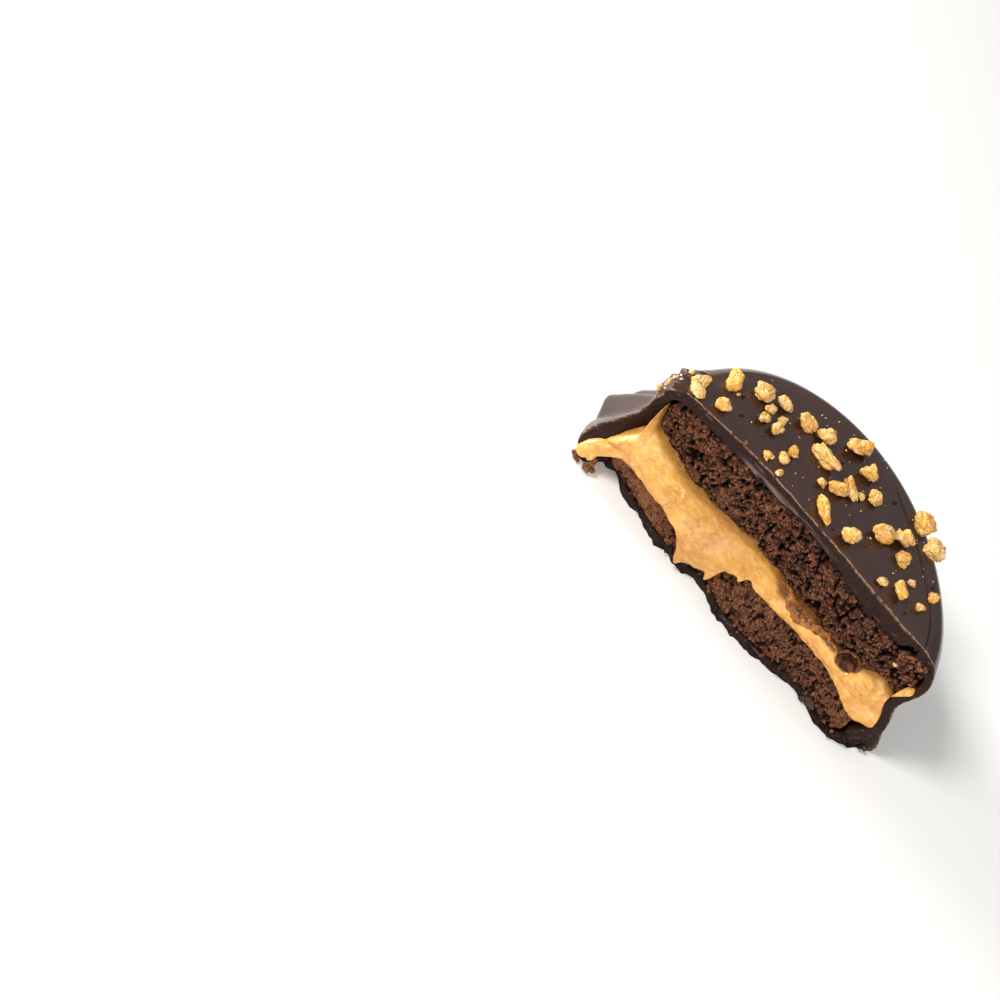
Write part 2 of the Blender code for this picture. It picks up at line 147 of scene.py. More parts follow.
def cut_ends(level, height, reach, front):
    """Angles where each level's outline meets the cut, on the right and on the left, by repeated steps."""
    ends = []
    for side in (0, 1):
        angle = np.full_like(level, side * np.pi)
        for _ in range(CUT_SEARCH_STEPS):
            x = CENTRE_X + plan_radius(angle) * np.cos(angle)
            r = plan_radius(angle) + reach(angle, height(x, level), level)
            x = CENTRE_X + r * np.cos(angle)
            dip = np.arcsin((front(x, height(x, level), level) - CENTRE_Y) / r)
            angle = np.pi - dip if side else dip
        ends.append(angle)
    return ends


def round_and_cut(levels, height, reach, front, round_points, cut_points):
    """Two grids, a row to a level: the points round the back from right to left, and those along the cut.

    A point round the back stands at the outline's radius plus reach(angle, z, level) from the centre. One on
    the cut has its Y from front(x, z, level). Each Z is height(x, level).
    """
    level = np.asarray(levels, float)[:, None]
    right, left = cut_ends(level, height, reach, front)
    angle = right + (left - right) * np.linspace(0, 1, round_points)
    near = CENTRE_X + plan_radius(angle) * np.cos(angle)
    r = plan_radius(angle) + reach(angle, height(near, level), level)
    x = CENTRE_X + r * np.cos(angle)
    back = np.stack([x, CENTRE_Y + r * np.sin(angle), height(x, level)], -1)
    x = back[:, :1, 0] + (back[:, -1:, 0] - back[:, :1, 0]) * np.linspace(0, 1, cut_points)
    z = height(x, level) + 0 * x
    return back, np.stack([x, front(x, z, level), z], -1)


def stacked_rows(levels, height, reach, front, cut_points, middle_y):
    """Closed rows, one to a level: the back's points, then the cut's from left to right between their ends.

    Smaller and smaller rows go on before and after them, down to a point over the middle.
    """
    back, along = round_and_cut(levels, height, reach, front, DISC_POINTS, cut_points)
    rows = np.concatenate([back, along[:, -2:0:-1]], axis=1)
    shares = np.array(CAP_SHARES)[:, None, None]

    def cap(row):
        middle = np.array([CENTRE_X, middle_y, row[:, 2].mean()])
        return middle + (row - middle) * shares

    return np.concatenate([cap(rows[0]), rows, cap(rows[-1])[::-1]])


def skin(name, grids, wraps, marks, weld=1e-4):
    """A closed mesh in metres: quads over each grid of points, equal points merged, faces turned outwards.

    wraps says of each grid if its last column joins its first. marks gives named numbers to the points.
    Points nearer to each other than weld, in millimetres, count as equal.
    """
    faces, start = [], 0
    for grid, wrap in zip(grids, wraps):
        index = np.arange(grid.shape[0] * grid.shape[1]).reshape(grid.shape[:2]) + start
        start += index.size
        if wrap:
            index = np.concatenate([index, index[:, :1]], axis=1)
        corners = (index[:-1, :-1], index[:-1, 1:], index[1:, 1:], index[1:, :-1])
        faces.append(np.stack(corners, -1).reshape(-1, 4))
    points = np.concatenate([grid.reshape(-1, 3) for grid in grids]) * MM
    mesh = bpy.data.meshes.new(name)
    mesh.from_pydata(points.tolist(), [], np.concatenate(faces).tolist())
    for mark, values in marks.items():
        layer = mesh.attributes.new(mark, "FLOAT", "POINT")
        layer.data.foreach_set("value", np.concatenate([v.ravel() for v in values]).astype(np.float32))
    work = bmesh.new()
    work.from_mesh(mesh)
    bmesh.ops.remove_doubles(work, verts=work.verts, dist=weld * MM)
    bmesh.ops.recalc_face_normals(work, faces=work.faces)
    work.to_mesh(mesh)
    work.free()
    mesh.shade_smooth()
    piece = bpy.data.objects.new(name, mesh)
    bpy.context.scene.collection.objects.link(piece)
    return piece


def linear(hex_colour):
    """An sRGB colour such as 'c08040' as the linear numbers that a shader takes."""
    value = np.array([int(hex_colour[i:i + 2], 16) for i in (0, 2, 4)]) / 255
    return (*np.where(value <= 0.04045, value / 12.92, ((value + 0.055) / 1.055) ** 2.4), 1)


def node(tree, kind, links=(), **settings):
    """Adds a node. A setting is one of the node's own, or socket_N with the number of an input.

    links are pairs of an input, by name or number, and the output that feeds it.
    """
    made = tree.nodes.new("ShaderNode" + kind)
    for name, value in settings.items():
        if name.startswith("socket_"):
            made.inputs[int(name[7:])].default_value = value
        else:
            setattr(made, name, value)
    for socket, output in links:
        tree.links.new(made.inputs[socket], output)
    return made


def new_material(name, **shader_settings):
    """A material with one Principled shader, whose constant values are set on its own sockets."""
    material = bpy.data.materials.new(name)
    material.use_nodes = True
    shader = material.node_tree.nodes["Principled BSDF"]
    for setting, value in shader_settings.items():
        shader.inputs[setting.replace("_", " ")].default_value = value
    return material, material.node_tree, shader


def per_metre(width):
    """Scale of a pattern whose features are this wide in millimetres, to the nearest ten in a metre."""
    return round(1 / (width * MM), -1)


def blend_colours(tree, share, low, high):
    """A colour between two: each is a hex value or another node's output."""
    mix = node(tree, "Mix", [("Factor", share)], data_type="RGBA")
    for socket, colour in ((mix.inputs[6], low), (mix.inputs[7], high)):
        if isinstance(colour, str):
            socket.default_value = linear(colour)
        else:
            tree.links.new(socket, colour)
    return mix.outputs[2]


def laid_over(tree, base, colour, value, start, end, most=1.0):
    """The base, and over it a colour whose share grows from none where the value is start to most at end."""
    share = node(tree, "MapRange", [("Value", value)], socket_1=start, socket_2=end, socket_4=most)
    return blend_colours(tree, share.outputs[0], base, colour)


def surfaced(tree, shader, colour, height, strength, depth):
    """Joins the shader to its colour and to a fine relief from this height, up to depth millimetres."""
    tree.links.new(shader.inputs["Base Color"], colour)
    bump = node(tree, "Bump", [("Height", height)], socket_0=strength, socket_1=depth * MM)
    tree.links.new(shader.inputs["Normal"], bump.outputs[0])


def caps(x, z, width, seed):
    """Round caps about strewn points, each of its own height up to 1, that run into each other."""
    away, height = strewn(x, z, width, seed)
    return (0.3 + 0.7 * height) * np.clip(1 - (away / 0.85) ** 2, 0, 1) ** 0.7


def broken_crumb(x, z, seed, pore_width, pore_depth, clump_width):
    """How far a broken biscuit's face stands in from its plane, and how hollow it is there from 0 to 1.

    The sum of wide lumps, clumps and grains as round caps about strewn points, and pores where a noise is
    high. A place is as hollow as it lies below the wide lumps.
    """
    wide = CRUMB_DEPTH * lumps(x, z, CRUMB_WIDTH, seed)
    slant = 0.9 * x + 0.45 * z + 0.14 * lumps(x, z, 0.8, seed + 14)
    rise = 0.9 * z - 0.45 * x + 0.14 * lumps(x, z, 0.7, seed + 16)
    clumps = caps(slant, rise, clump_width, seed + 11)
    grains = caps(slant, rise, GRAIN_SHARE * clump_width, seed + 12)
    cloud = lumps(slant, rise, pore_width, seed + 13) + 0.6 * lumps(x, z, 0.4 * pore_width, seed + 15)
    small = lumps(rise, slant, 0.5, seed + 18)
    pore = pore_depth * np.maximum(ramp(cloud, 0.42, 0.85), 0.6 * ramp(small, 0.4, 0.7))
    fine = CLUMP_HEIGHT * (0.5 - clumps) + GRAIN_HEIGHT * (0.5 - grains)
    return wide + fine + pore, ramp(fine + 0.6 * pore, -0.25, 0.45)


def lower_plain(x, z):
    """Y of the lower biscuit's break before its crumb: from its foot's line to its top's."""
    rise = np.clip((z - LOWER_BOTTOM) / (LOWER_TOP - LOWER_BOTTOM), 0, 1)
    return through(x, LOWER_FACE_FOOT) * (1 - rise) + through(x, LOWER_FACE_TOP) * rise


def lower_front(x, z, level):
    """Y of the lower biscuit's break, with its crumb and its rounded edges."""
    depth, _ = broken_crumb(x, z, *LOWER_CRUMB)
    return lower_plain(x, z) + LOWER_RELIEF * depth - EDGE_ROUNDING * (through(level, LOWER_EDGE) + 1)


def lower_hollow(x, z):
    """How hollow the lower biscuit's break is, which sets its painted shade.

    Its left end counts as less hollow, so it is painted paler, as painted light.
    """
    return broken_crumb(x, z, *LOWER_CRUMB)[1] * (1 - LEFT_END_PAINTED_LIGHT * ramp(-x, 13, 20))


def same_level(x, level):
    """A level height for every X."""
    return level + 0 * x


def baked_cocoa_crumb(name, lit, shade):
    """Baked cocoa dough, torn and matt.

    Its grain tops and fine specks are painted highlights; its hollows and pores are painted shade.
    """
    material, tree, shader = new_material(name, Roughness=0.62, IOR=1.45, Specular_IOR_Level=0.16)
    place = node(tree, "TexCoord").outputs["Object"]
    hollow = node(tree, "Attribute", attribute_name="hollow").outputs["Fac"]
    patches = node(tree, "TexNoise", [("Vector", place)], socket_2=per_metre(1.92), socket_3=3.0)
    grains = node(tree, "TexVoronoi", [("Vector", place)], socket_2=per_metre(0.238))
    fine = node(tree, "TexNoise", [("Vector", place)], socket_2=per_metre(0.333), socket_3=3.0).outputs["Fac"]
    base = laid_over(tree, shade, lit, patches.outputs["Fac"], 0.38, 0.62)
    # Painted highlight: the grains' tops, where the crumb is least hollow, are painted lighter.
    base = laid_over(tree, base, "a26a47", hollow, 0.3, 0.02, 0.6)
    # Painted glints: fine bright specks of a lighter colour, from a fine noise.
    base = laid_over(tree, base, "c4946c", fine, 0.6, 0.7, 0.55)
    # Painted shade: the hollows between the grains, and the pores, are painted nearly black.
    base = laid_over(tree, base, "1a0b07", hollow, 0.3, 0.85)
    depth = node(tree, "Math", [(0, fine), (1, grains.outputs["Distance"])], operation="SUBTRACT")
    surfaced(tree, shader, base, depth.outputs[0], 1.0, 0.3)
    return material


def broken_disc(name, levels, height, reach, front, hollow_at, cut_points):
    """A half disc whose break has dense points, each with how hollow the crumb is there."""
    rows = stacked_rows(levels, height, reach, front, cut_points, 11)
    cut = rows[BETWEEN_CAPS, DISC_POINTS:]
    hollow = np.zeros(rows.shape[:2])
    hollow[BETWEEN_CAPS, DISC_POINTS:] = hollow_at(cut[..., 0], cut[..., 2])
    return skin(name, [rows], [True], {"hollow": [hollow]})


lower_biscuit = broken_disc(
    "cocoa_biscuit_lower", np.linspace(LOWER_BOTTOM, LOWER_TOP, 84), same_level,
    lambda angle, z, level: through(level, LOWER_EDGE), lower_front,
    lower_hollow, 701,
)
lower_biscuit.data.materials.append(baked_cocoa_crumb("baked cocoa crumb, fine", "70422c", "462a1d"))
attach(lower_biscuit, "root")
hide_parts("lower_biscuit")


# Upper cocoa biscuit
# The same dough, 10 mm thick and more open. It broke later than the cream gave way, so its break is rough,
# with deep dark pores. Its lower edge rises at both ends, where the cream pushes up beside it.

GAP = 0.3
ROOF = 22.0
FLOOR = 1.2
UPPER_TOP = ROOF - GAP
UPPER_BOTTOM = 12.0
LOBE = np.radians(26)
LEFT_THINNING = 0.4
RIGHT_WALL = 0.3
CORNER_FILL = 4.4
FLARE_TOP = 15.0
FLARE_DEPTH = 13.0
FLARE_POWER = 1.2
LEFT_FLARE = 4.2
LEFT_ANGLE = np.radians(152)
RIGHT_FLARE = 3.5
RIGHT_HUMPS = ((2.1, 16, 4.5), (0.9, 8.5, 2.8))
UPPER_RIGHT = 1.35 * RIGHT_HUMPS[0][0]
UPPER_LEFT = 5 * LEFT_THINNING
UPPER_ROOM = 1.3 * GAP
UPPER_LEAN = 0.06
LEAN_FROM = 17
LIP_ANGLE = np.radians(11)
LIP_OUTSIDE = ((0, 0.6), (2, 1.2), (4.5, 1.8), (10, 2), (13.5, 2), (17.4, 1.1), (19, 0.55), (20.6, 0.3),
               (22.2, 0.95), (24, 1.4))
LIP_INSIDE = ((0, 0.5), (4, 0.9), (9, 0.9), (11, 0.5), (13, 0.5), (15.5, 0.8), (19.6, 0.9), (21, 1.4),
              (22, 1.8))
CORNER_OUTSIDE = ((0, 0.9), (0.6, 0.3), (2, 0), (16, 0), (20.3, 0.8), (22.5, 1), (24, 1.3))
CORNER_INSIDE = ((0, 0), (13, 0.1), (16.5, 0.7), (20, 1.6), (22, 1.5))
INNER = ((FLOOR, 0.2), (1.9, 0.9), (3.3, 0.8), (5, 0.4), (7, 0), (9, -0.5), (12, -1.3), (14, -1.7),
         (16.5, -1.5), (19, -1.3), (20.6, -1.8), (21.6, -3), (ROOF, -4.6))
UPPER_EDGE = ((UPPER_BOTTOM, -4.2), (12.8, -2.9), (14, -2.2), (16, -1.9), (18, -1.7), (20, -1.8),
              (21.1, -2.9), (UPPER_TOP, -5))
UPPER_FACE = ((-30, -0.3), (-10, -0.5), (0, -0.7), (8, -1.7), (14, -2.7), (24, -3.2), (29, -2.5))
UPPER_SILL = ((-31, 21.2), (-30.2, 20.4), (-29.5, 18), (-28.6, 15.9), (-25.9, 14.1), (-22, 12.8),
              (-17, 12.1), (-8, 12.5), (0, 12.2), (5, 12), (8, 12.1), (11, 12.4), (14.5, 12.8), (18, 12.3),
              (22, 12.6), (24.5, 14.2), (26.6, 14.6), (28.2, 13.6), (30, 13.4))
UPPER_CRUMB = (1, 1.3, 1.4, 0.52)
PIT_X, PIT_Z = 20.5, 12.1
PIT_RADIUS = 1.75
PIT_DEPTH = 3.1


def lobe(angle, centre):
    """A soft hump of height 1 round this angle."""
    return bell(angle, centre, LOBE)


def flare(angle, z):
    """How far the coat stands out at the ends of the cut, most at its foot and nothing above the waist."""
    depth = np.clip((FLARE_TOP - z) / FLARE_DEPTH, 0, 1) ** FLARE_POWER
    return (LEFT_FLARE * lobe(angle, LEFT_ANGLE) + RIGHT_FLARE * lobe(angle, 0)) * depth


def right_bulge(angle, z):
    """The fuller middle of the right wall: two humps, so that it runs nearly straight down to the flare."""
    return lobe(angle, 0) * sum(height * bell(z, middle, spread) for height, middle, spread in RIGHT_HUMPS)


def curl(angle, z, lip, corner):
    """How far the coat stands out beside the cut: a curled lip on the left, a full corner on the right."""
    return through(z, lip) * bell(angle, np.pi, LIP_ANGLE) + through(z, corner) * lobe(angle, 0)


def inner_edge(angle, z, level=0):
    """Coat's inside, as a distance beyond the outline. Chocolate fills its corner at the right foot."""
    walls = LEFT_THINNING * lobe(angle, np.pi) - RIGHT_WALL * lobe(angle, 0)
    walls = walls + curl(angle, z, LIP_INSIDE, CORNER_INSIDE)
    corner = CORNER_FILL * lobe(angle, 0) * ramp(-z, -6.2, -2.2)
    return through(z, INNER) + flare(angle, z) + right_bulge(angle, z) + walls - corner


def pit(x, z):
    """Depth of the round pit that a bubble left: a bowl with a soft rim."""
    away = np.hypot(x - PIT_X, z - PIT_Z) / PIT_RADIUS
    return PIT_DEPTH * np.exp(-(away ** 4))


def upper_height(x, level):
    """Height of a level: from the biscuit's flat top down to its lower edge, which rises at both ends."""
    share = (UPPER_TOP - level) / (UPPER_TOP - UPPER_BOTTOM)
    return UPPER_TOP - share * (UPPER_TOP - through(x, UPPER_SILL))


def upper_reach(angle, z, level):
    """Distance of the upper biscuit's edge beyond the outline, kept clear of the coat."""
    room = inner_edge(angle, np.clip(z, FLOOR, ROOF)) - UPPER_ROOM
    ends = UPPER_RIGHT * lobe(angle, 0) + UPPER_LEFT * lobe(angle, np.pi)
    return np.minimum(through(level, UPPER_EDGE) + ends, room)


def upper_plain(x, z):
    """Y of the upper biscuit's break before its crumb: it leans back a little to its top."""
    return through(x, UPPER_FACE) + UPPER_LEAN * (z - LEAN_FROM)


def upper_front(x, z, level):
    """Y of the upper biscuit's break, with its crumb, its rounded edges and the pit."""
    depth, _ = broken_crumb(x, z, *UPPER_CRUMB)
    return upper_plain(x, z) + depth + pit(x, z) - EDGE_ROUNDING * (through(level, UPPER_EDGE) + 1.7)


upper_biscuit = broken_disc(
    "cocoa_biscuit_upper", np.linspace(UPPER_BOTTOM, UPPER_TOP, 116), upper_height, upper_reach,
    upper_front, lambda x, z: broken_crumb(x, z, *UPPER_CRUMB)[1], 721,
)
upper_biscuit.data.materials.append(baked_cocoa_crumb("baked cocoa crumb, open", "603524", "331b11"))
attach(upper_biscuit, "root")
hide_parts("upper_biscuit")


# Bubble in the upper biscuit
# A bubble in the dough that baked into a round hollow, opened by the break low down beside the cream. Its
# wall is a thin skin of dough, smoother than the crumb; painted shade makes it nearly black in its depth
# and darker on one side.

BUBBLE_RADIUS = 1.9
BUBBLE_DEPTH = 2.3
BUBBLE_WALL = 0.2


def bubble_bowl(name):
    """A round bowl with a wall: a profile from its middle over the rim and back behind, turned about Y."""
    inside = np.linspace(0, np.pi / 2, 18)
    outer = BUBBLE_RADIUS + BUBBLE_WALL
    radius = np.concatenate([np.sin(inside) * BUBBLE_RADIUS, np.sin(inside[::-1]) * outer])[:, None]
    behind = np.cos(inside[::-1]) * (BUBBLE_DEPTH + BUBBLE_WALL)
    depth = np.concatenate([np.cos(inside) * BUBBLE_DEPTH, behind])[:, None]
    turn = np.linspace(0, 2 * np.pi, 96, endpoint=False)
    uneven = 1 + 0.07 * np.sin(2 * turn + 0.6) + 0.05 * np.sin(5 * turn)
    x = PIT_X + radius * np.cos(turn) * uneven
    z = PIT_Z + 0.9 * radius * np.sin(turn) * uneven
    rim = (radius / BUBBLE_RADIUS) ** 4 * (0.35 * lumps(x, z, 0.9, 21) - 0.2 * np.cos(turn - 4.0))
    away, height = strewn(x, z, 0.5, 23)
    grains = 0.3 * height * np.clip(1 - away ** 2, 0, 1)
    y = upper_plain(x, z) + 0.1 + depth + rim - grains + 0.05 * lumps(x, z, 0.4, 22)
    # Painted shade: darker towards the bowl's depth and on one side, lighter on its raised grains.
    deep = (1 - radius / outer) * (1 + 0.6 * np.sin(turn - 0.8))
    hollow = np.clip(deep + 0.35 * (0.15 - grains) / 0.15, 0, 1)
    return skin(name, [np.stack([x, y, z], -1)], [True], {"hollow": [hollow]})


bubble = bubble_bowl("bubble_bowl")
bubble.data.materials.append(baked_cocoa_crumb("baked skin of a bubble", "6e3f27", "3c2115"))
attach(bubble, "root")


# Peanut cream
# A thick spread of ground peanuts and sugar between the biscuits. The knife squeezed it out of the cut,
# where it bulges, sags over the lower biscuit and ends in torn peaks. It is smooth, soft and a little oily.

CREAM_SAG = ((-32, 4.6), (-30.5, 5), (-28.5, 5.4), (-22, 6.1), (-17, 6), (-14.5, 5.4), (-13, 4.2),
             (-11.7, 2.9), (-10.9, 1.6), (-10.2, 0.9), (-9.5, 1.7), (-8.6, 2.3), (-7.6, 2.3), (-6.4, 2.7),
             (-5.4, 2.7), (-4.9, 1.7), (-4.5, 2.1), (-4, 5.3), (-3.1, 6.5), (-1.8, 7.4), (-0.9, 7.1),
             (-0.4, 8.2), (1.5, 8.3), (4, 8.3), (15, 8), (20, 7.2), (24, 6), (28, 4.8), (31.5, 4.8))
CREAM_BULGE = ((-34, 2.6), (-31, 2.6), (-28, 2.2), (-23, 3.2), (-17, 3.7), (-10, 3.3), (-4, 2.3), (3, 1.2),
               (12, 0.8), (20, 0.9), (26, 1.6), (31, 1))
CREAM_LINE = ((-32, 4.8), (-28.5, 5.5), (-22, 6.1), (-17, 6), (-13, 4.4), (-9.5, 3.2), (-6, 3.6), (-3, 5.6),
              (1, 8), (15, 8), (20, 7.2), (24, 6), (28, 4.8), (31.5, 4.8))
HIDDEN = 2.0
SWELL_SHARE = 0.4
THINNING = 1.3
BELOW = 0.15
SILL_RISE = 0.1
CREAM_LEVELS = 66
CREAM_CUT_POINTS = 561


def torn_sag(x):
    """Height of the cream's lower edge: its sagging line with torn tips, and a slightly ragged edge."""
    return through(x, CREAM_SAG) + layers(x, 0, (0.12, 1.3, 31), (0.06, 0.5, 32))


def cream_height(x, level):
    """Height of a level: 0 at the cream's lower edge, 1 under the upper biscuit, flat shelves beyond both."""
    sag, sill = torn_sag(x), through(x, UPPER_SILL)
    front = sag + np.clip(level, 0, 1) * (sill + SILL_RISE - sag)
    shelf = LOWER_BOTTOM + (np.maximum(sag - GAP, LOWER_BOTTOM + 0.05) - LOWER_BOTTOM) * (level + 2)
    return np.where(level < 0, np.minimum(shelf, sag), np.where(level > 1, sill + (level - 1), front))


def cream_folds(x, z):
    """Relief of the cream: slow folds, blobs and drag marks, and a wrinkled heap at the right end."""
    left = ramp(-x, 8, 18)
    folds = 0.36 * lumps(0.7 * x + 0.5 * z, z - 0.3 * x, 2.8, 41)
    folds = folds + 0.22 * lumps(0.8 * x + 0.4 * z, z, 1.3, 42)
    fine = 0.05 * lumps(0.5 * x + z, z - 0.4 * x, 0.6, 43) + 0.03 * lumps(x, z, 0.35, 44)
    away, height = strewn(x + 0.5 * z, z - 0.4 * x, 2.6, 46)
    blobs = 0.55 * height * np.clip(1 - (away / 0.6) ** 2, 0, 1) ** 2
    heap = bell(x, 25.6, 2.8) * bell(z, 11.5, 2.6)
    wrinkles = 1 - np.abs(lumps(0.7 * x + z, z - 0.6 * x, 1.7, 45)) * 2.2
    relief = folds * (0.25 + 1.1 * left) + fine * (0.5 + 0.9 * left) - blobs * (0.15 + 0.85 * left)
    return relief - heap * (0.5 + 0.55 * wrinkles)


def cream_reach(angle, z, level):
    """The cream fills the coat out to its inside."""
    return inner_edge(angle, np.clip(z, FLOOR, ROOF)) - 0.5 * GAP


def cream_front(x, z, level):
    """Y of the cream: from the lower biscuit's face to the upper's, swollen outwards most below its middle.

    The swelling is an arc from the sag's line, without its torn tips, up to its widest share, and another
    from there on. It thins out in a quarter round over the last of the way down to the torn edge. Behind the
    biscuits the cream is set back.
    """
    line, sill = through(x, CREAM_LINE), through(x, UPPER_SILL)
    share = np.clip((z - line) / (sill - line), 0.1, 1)
    below = np.sqrt(np.clip(1 - (1 - share / SWELL_SHARE) ** 2, 0, 1))
    above = 1 - (np.clip(share - SWELL_SHARE, 0, 1) / (1 - SWELL_SHARE)) ** 2
    edge = np.sqrt(1 - (1 - np.clip((z - torn_sag(x)) / THINNING, 0, 1)) ** 2)
    swell = through(x, CREAM_BULGE) * np.where(share < SWELL_SHARE, below, above) * edge
    face = (lower_plain(x, z) - BELOW) * (1 - share) + through(x, UPPER_FACE) * share - swell + pit(x, z)
    face = face + cream_folds(x, z) * edge * (4 * share * (1 - share)) ** 0.3 + 0.9 * ramp(share, 0.92, 1)
    return np.where((level < 0) | (level > 1), HIDDEN, face)


def whipped_peanut_cream(name):
    """Ground peanuts and sugar, whipped: light passes into it, so it glows, under a soft oily gloss.

    Bits of skin make brown specks. Where it thins out beside the upper biscuit, cocoa dulls it.
    """
    material, tree, shader = new_material(
        name, Roughness=0.3, IOR=1.46, Subsurface_Weight=0.12, Subsurface_Scale=0.0008,
        Subsurface_Radius=(1.0, 0.6, 0.25),
    )
    place = node(tree, "TexCoord").outputs["Object"]
    clouds = node(tree, "TexNoise", [("Vector", place)], socket_2=per_metre(3.33), socket_3=4.0)
    drag = node(tree, "Mapping", [("Vector", place)], socket_2=(0, 0.5, 0), socket_3=(0.7, 1, 1.1))
    pulled = node(tree, "TexNoise", [("Vector", drag.outputs[0])], socket_2=per_metre(0.77), socket_3=4.0)
    pulled = pulled.outputs["Fac"]
    dots = node(tree, "TexVoronoi", [("Vector", place)], socket_2=per_metre(0.91)).outputs["Distance"]
    thin = node(tree, "Attribute", attribute_name="thin").outputs["Fac"]
    base = laid_over(tree, "bc8139", "dda350", clouds.outputs["Fac"], 0.32, 0.66)
    base = laid_over(tree, base, "f5cf88", pulled, 0.5, 0.75, 0.4)
    base = blend_colours(tree, thin, base, "70471f")
    base = laid_over(tree, base, "93592a", dots, 0.2, 0.1, 0.5)
    gloss = node(tree, "MapRange", [("Value", pulled)],
                 socket_1=0.35, socket_2=0.7, socket_3=0.17, socket_4=0.38)
    tree.links.new(shader.inputs["Roughness"], gloss.outputs[0])
    surfaced(tree, shader, base, pulled, 0.35, 0.4)
    return material


def peanut_cream(name):
    """The cream, with how thin it is: most under the upper biscuit, and a little in the cut's middle."""
    levels = np.concatenate([[-2, -1], np.linspace(0, 1, CREAM_LEVELS), [1.01, 1.9]])
    rows = stacked_rows(levels, cream_height, cream_reach, cream_front, CREAM_CUT_POINTS, 14)
    x, share = rows[BETWEEN_CAPS, :, 0], np.clip(levels, 0, 1)[:, None]
    smeared = stretch(x, 2, 5, 17, 20)
    middle = 0.36 * bell(x, -7, 10) * (0.5 + 0.5 * share)
    thin = np.zeros(rows.shape[:2])
    thin[BETWEEN_CAPS] = np.maximum((0.75 + 0.25 * smeared) * ramp(share + 0.2 * smeared, 0.8, 1), middle)
    return skin(name, [rows], [True], {"thin": [thin]})


cream = peanut_cream("peanut_cream")
cream.data.materials.append(whipped_peanut_cream("whipped peanut cream"))
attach(cream, "root")
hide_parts("peanut_filling")


# Chocolate coat
# Dark chocolate, 1 to 2 mm thick, that the sandwich was dipped in and that set with a satin skin. It is
# soft at the waist and flares at the foot. It snapped along the cut and left a dull face with a pale edge.

HEIGHT = 24.0
OUTER = ((0, 1.2), (0.5, 2.1), (1.6, 2.5), (5, 2.1), (9, 1.3), (12, 0.5), (14, 0.1), (16.5, 0.3),
         (19, 0.6), (21, 0.3), (22.7, -0.8), (23.6, -2.3), (HEIGHT, -4))
COAT_FOOT = ((-36, -1.6), (-31.6, -1.8), (-30.2, 0.6), (-28.4, 1.2), (-23.4, -1.2), (-19, -2.6), (-13, -4.1),
             (-9, -3.9), (-6, -2.8), (-2.6, -4), (1.4, -5.6), (10.5, -5.7), (15.5, -4.5), (22, -4.6),
             (26, -6.7), (30.8, -4.6), (35.5, -1.6))
COAT_TOP = ((-32, -0.2), (-26, 0.3), (-18, 1.1), (-4, 0.7), (5.5, 0.1), (15.4, -0.9), (25, -1.7),
            (32, -1.8))
BAND_FOOT = ((-32, -0.6), (-20, 0.3), (-10, 0.2), (-2, 0.3), (5, -0.5), (12, -2.4), (22, -3.3), (27, -2.6),
             (32, -2.2))
CREASE = ((5, 23.2), (7.3, 21.6), (11, 18.7), (14.6, 15.9), (18.6, 12), (22.3, 7.7), (24.4, 4.5), (25.9, 0.5),
          (26.4, -1.4))
CREASE_WIDTH = 0.17
CREASE_DEPTH = 0.22
LIP_FOLDS = ((169, 2.4, -0.55), (161.5, 4, 1.6), (154.5, 3, -0.6), (149, 3.5, 0.6))
PINCH = (163, 2.5, 17, 1.6)
PINCH_DEPTH = 0.8
SHOULDER = (169, 9, 20.6, 2.6)
SHOULDER_HEIGHT = 2.1
NOTCH_HEIGHT = 1.5
NOTCH_SETBACK = 0.4
WALL_ROWS = 56
COLUMNS = 401
ACROSS_WALL = 13
PALE_WIDTH = 0.09
GROOVE_WIDTH = 0.12


def coat_front(x, z, level):
    """Y of the coat's break, with its chips: from the base to the roof, then leaning back to the top."""
    rise = np.clip(z / ROOF, 0, 1)
    band = np.clip((z - ROOF) / (HEIGHT - ROOF), 0, 1)
    wall = through(x, COAT_FOOT) * (1 - rise) + through(x, BAND_FOOT) * rise
    plain = wall * (1 - band) + through(x, COAT_TOP) * band
    chips = layers(x, z, (0.16, 2.1, 51), (0.09, 0.7, 52))
    return plain + chips + np.clip(1 - z / 3, 0, 1) * layers(x, 0, (0.55, 2.4, 53), (0.3, 0.8, 54))


def spot(angle, z, place):
    """A round hump of height 1 on the wall. Its place is an angle and a width, and a height and a width."""
    at, width, middle, spread = place
    return bell(angle, np.radians(at), np.radians(width)) * bell(z, middle, spread)


def outer_reach(angle, z, level):
    """Coat's outside beyond the outline: its profile, its ends, folds, slow waves and a ragged foot."""
    along = RADIUS * angle
    fold = stretch(z, 0.5, 3, 5, 18) * sum(
        height * bell(angle, np.radians(at), np.radians(width)) for at, width, height in LIP_FOLDS)
    shoulder = spot(angle, z, SHOULDER) * (1 + 0.5 * lumps(along, z, 0.9, 67))
    fold = fold - PINCH_DEPTH * spot(angle, z, PINCH) + SHOULDER_HEIGHT * shoulder
    waves = layers(along, z, (0.16, 8, 61), (0.05, 3, 62)) * ramp(-z, -HEIGHT, -21)
    ragged = layers(along, 0, (0.5, 3.4, 63), (0.35, 1.2, 64)) - 0.2
    profile = through(z, OUTER) + flare(angle, z) + right_bulge(angle, z)
    profile = profile + curl(angle, z, LIP_OUTSIDE, CORNER_OUTSIDE)
    return profile + fold + waves + ragged * bell(z, 0, 1.3)


def profile_heights(profile, count):
    """Heights at equal steps along a profile of height and distance."""
    z = np.linspace(profile[0][0], profile[-1][0], 2000)
    run = np.concatenate([[0], np.cumsum(np.hypot(np.diff(z), np.diff(through(z, profile))))])
    return np.interp(np.linspace(0, run[-1], count), run, z)


def between(first, last, shares):
    """Rows from one line of points to another, at these shares of the way."""
    return first + (last - first) * np.asarray(shares)[:, None, None]


def crease_away(x, y):
    """Distance from the crease in the top, positive on the rim's side."""
    slope = (through(x + 0.05, CREASE) - through(x - 0.05, CREASE)) / 0.1
    return (y - through(x, CREASE)) / np.sqrt(1 + slope ** 2)


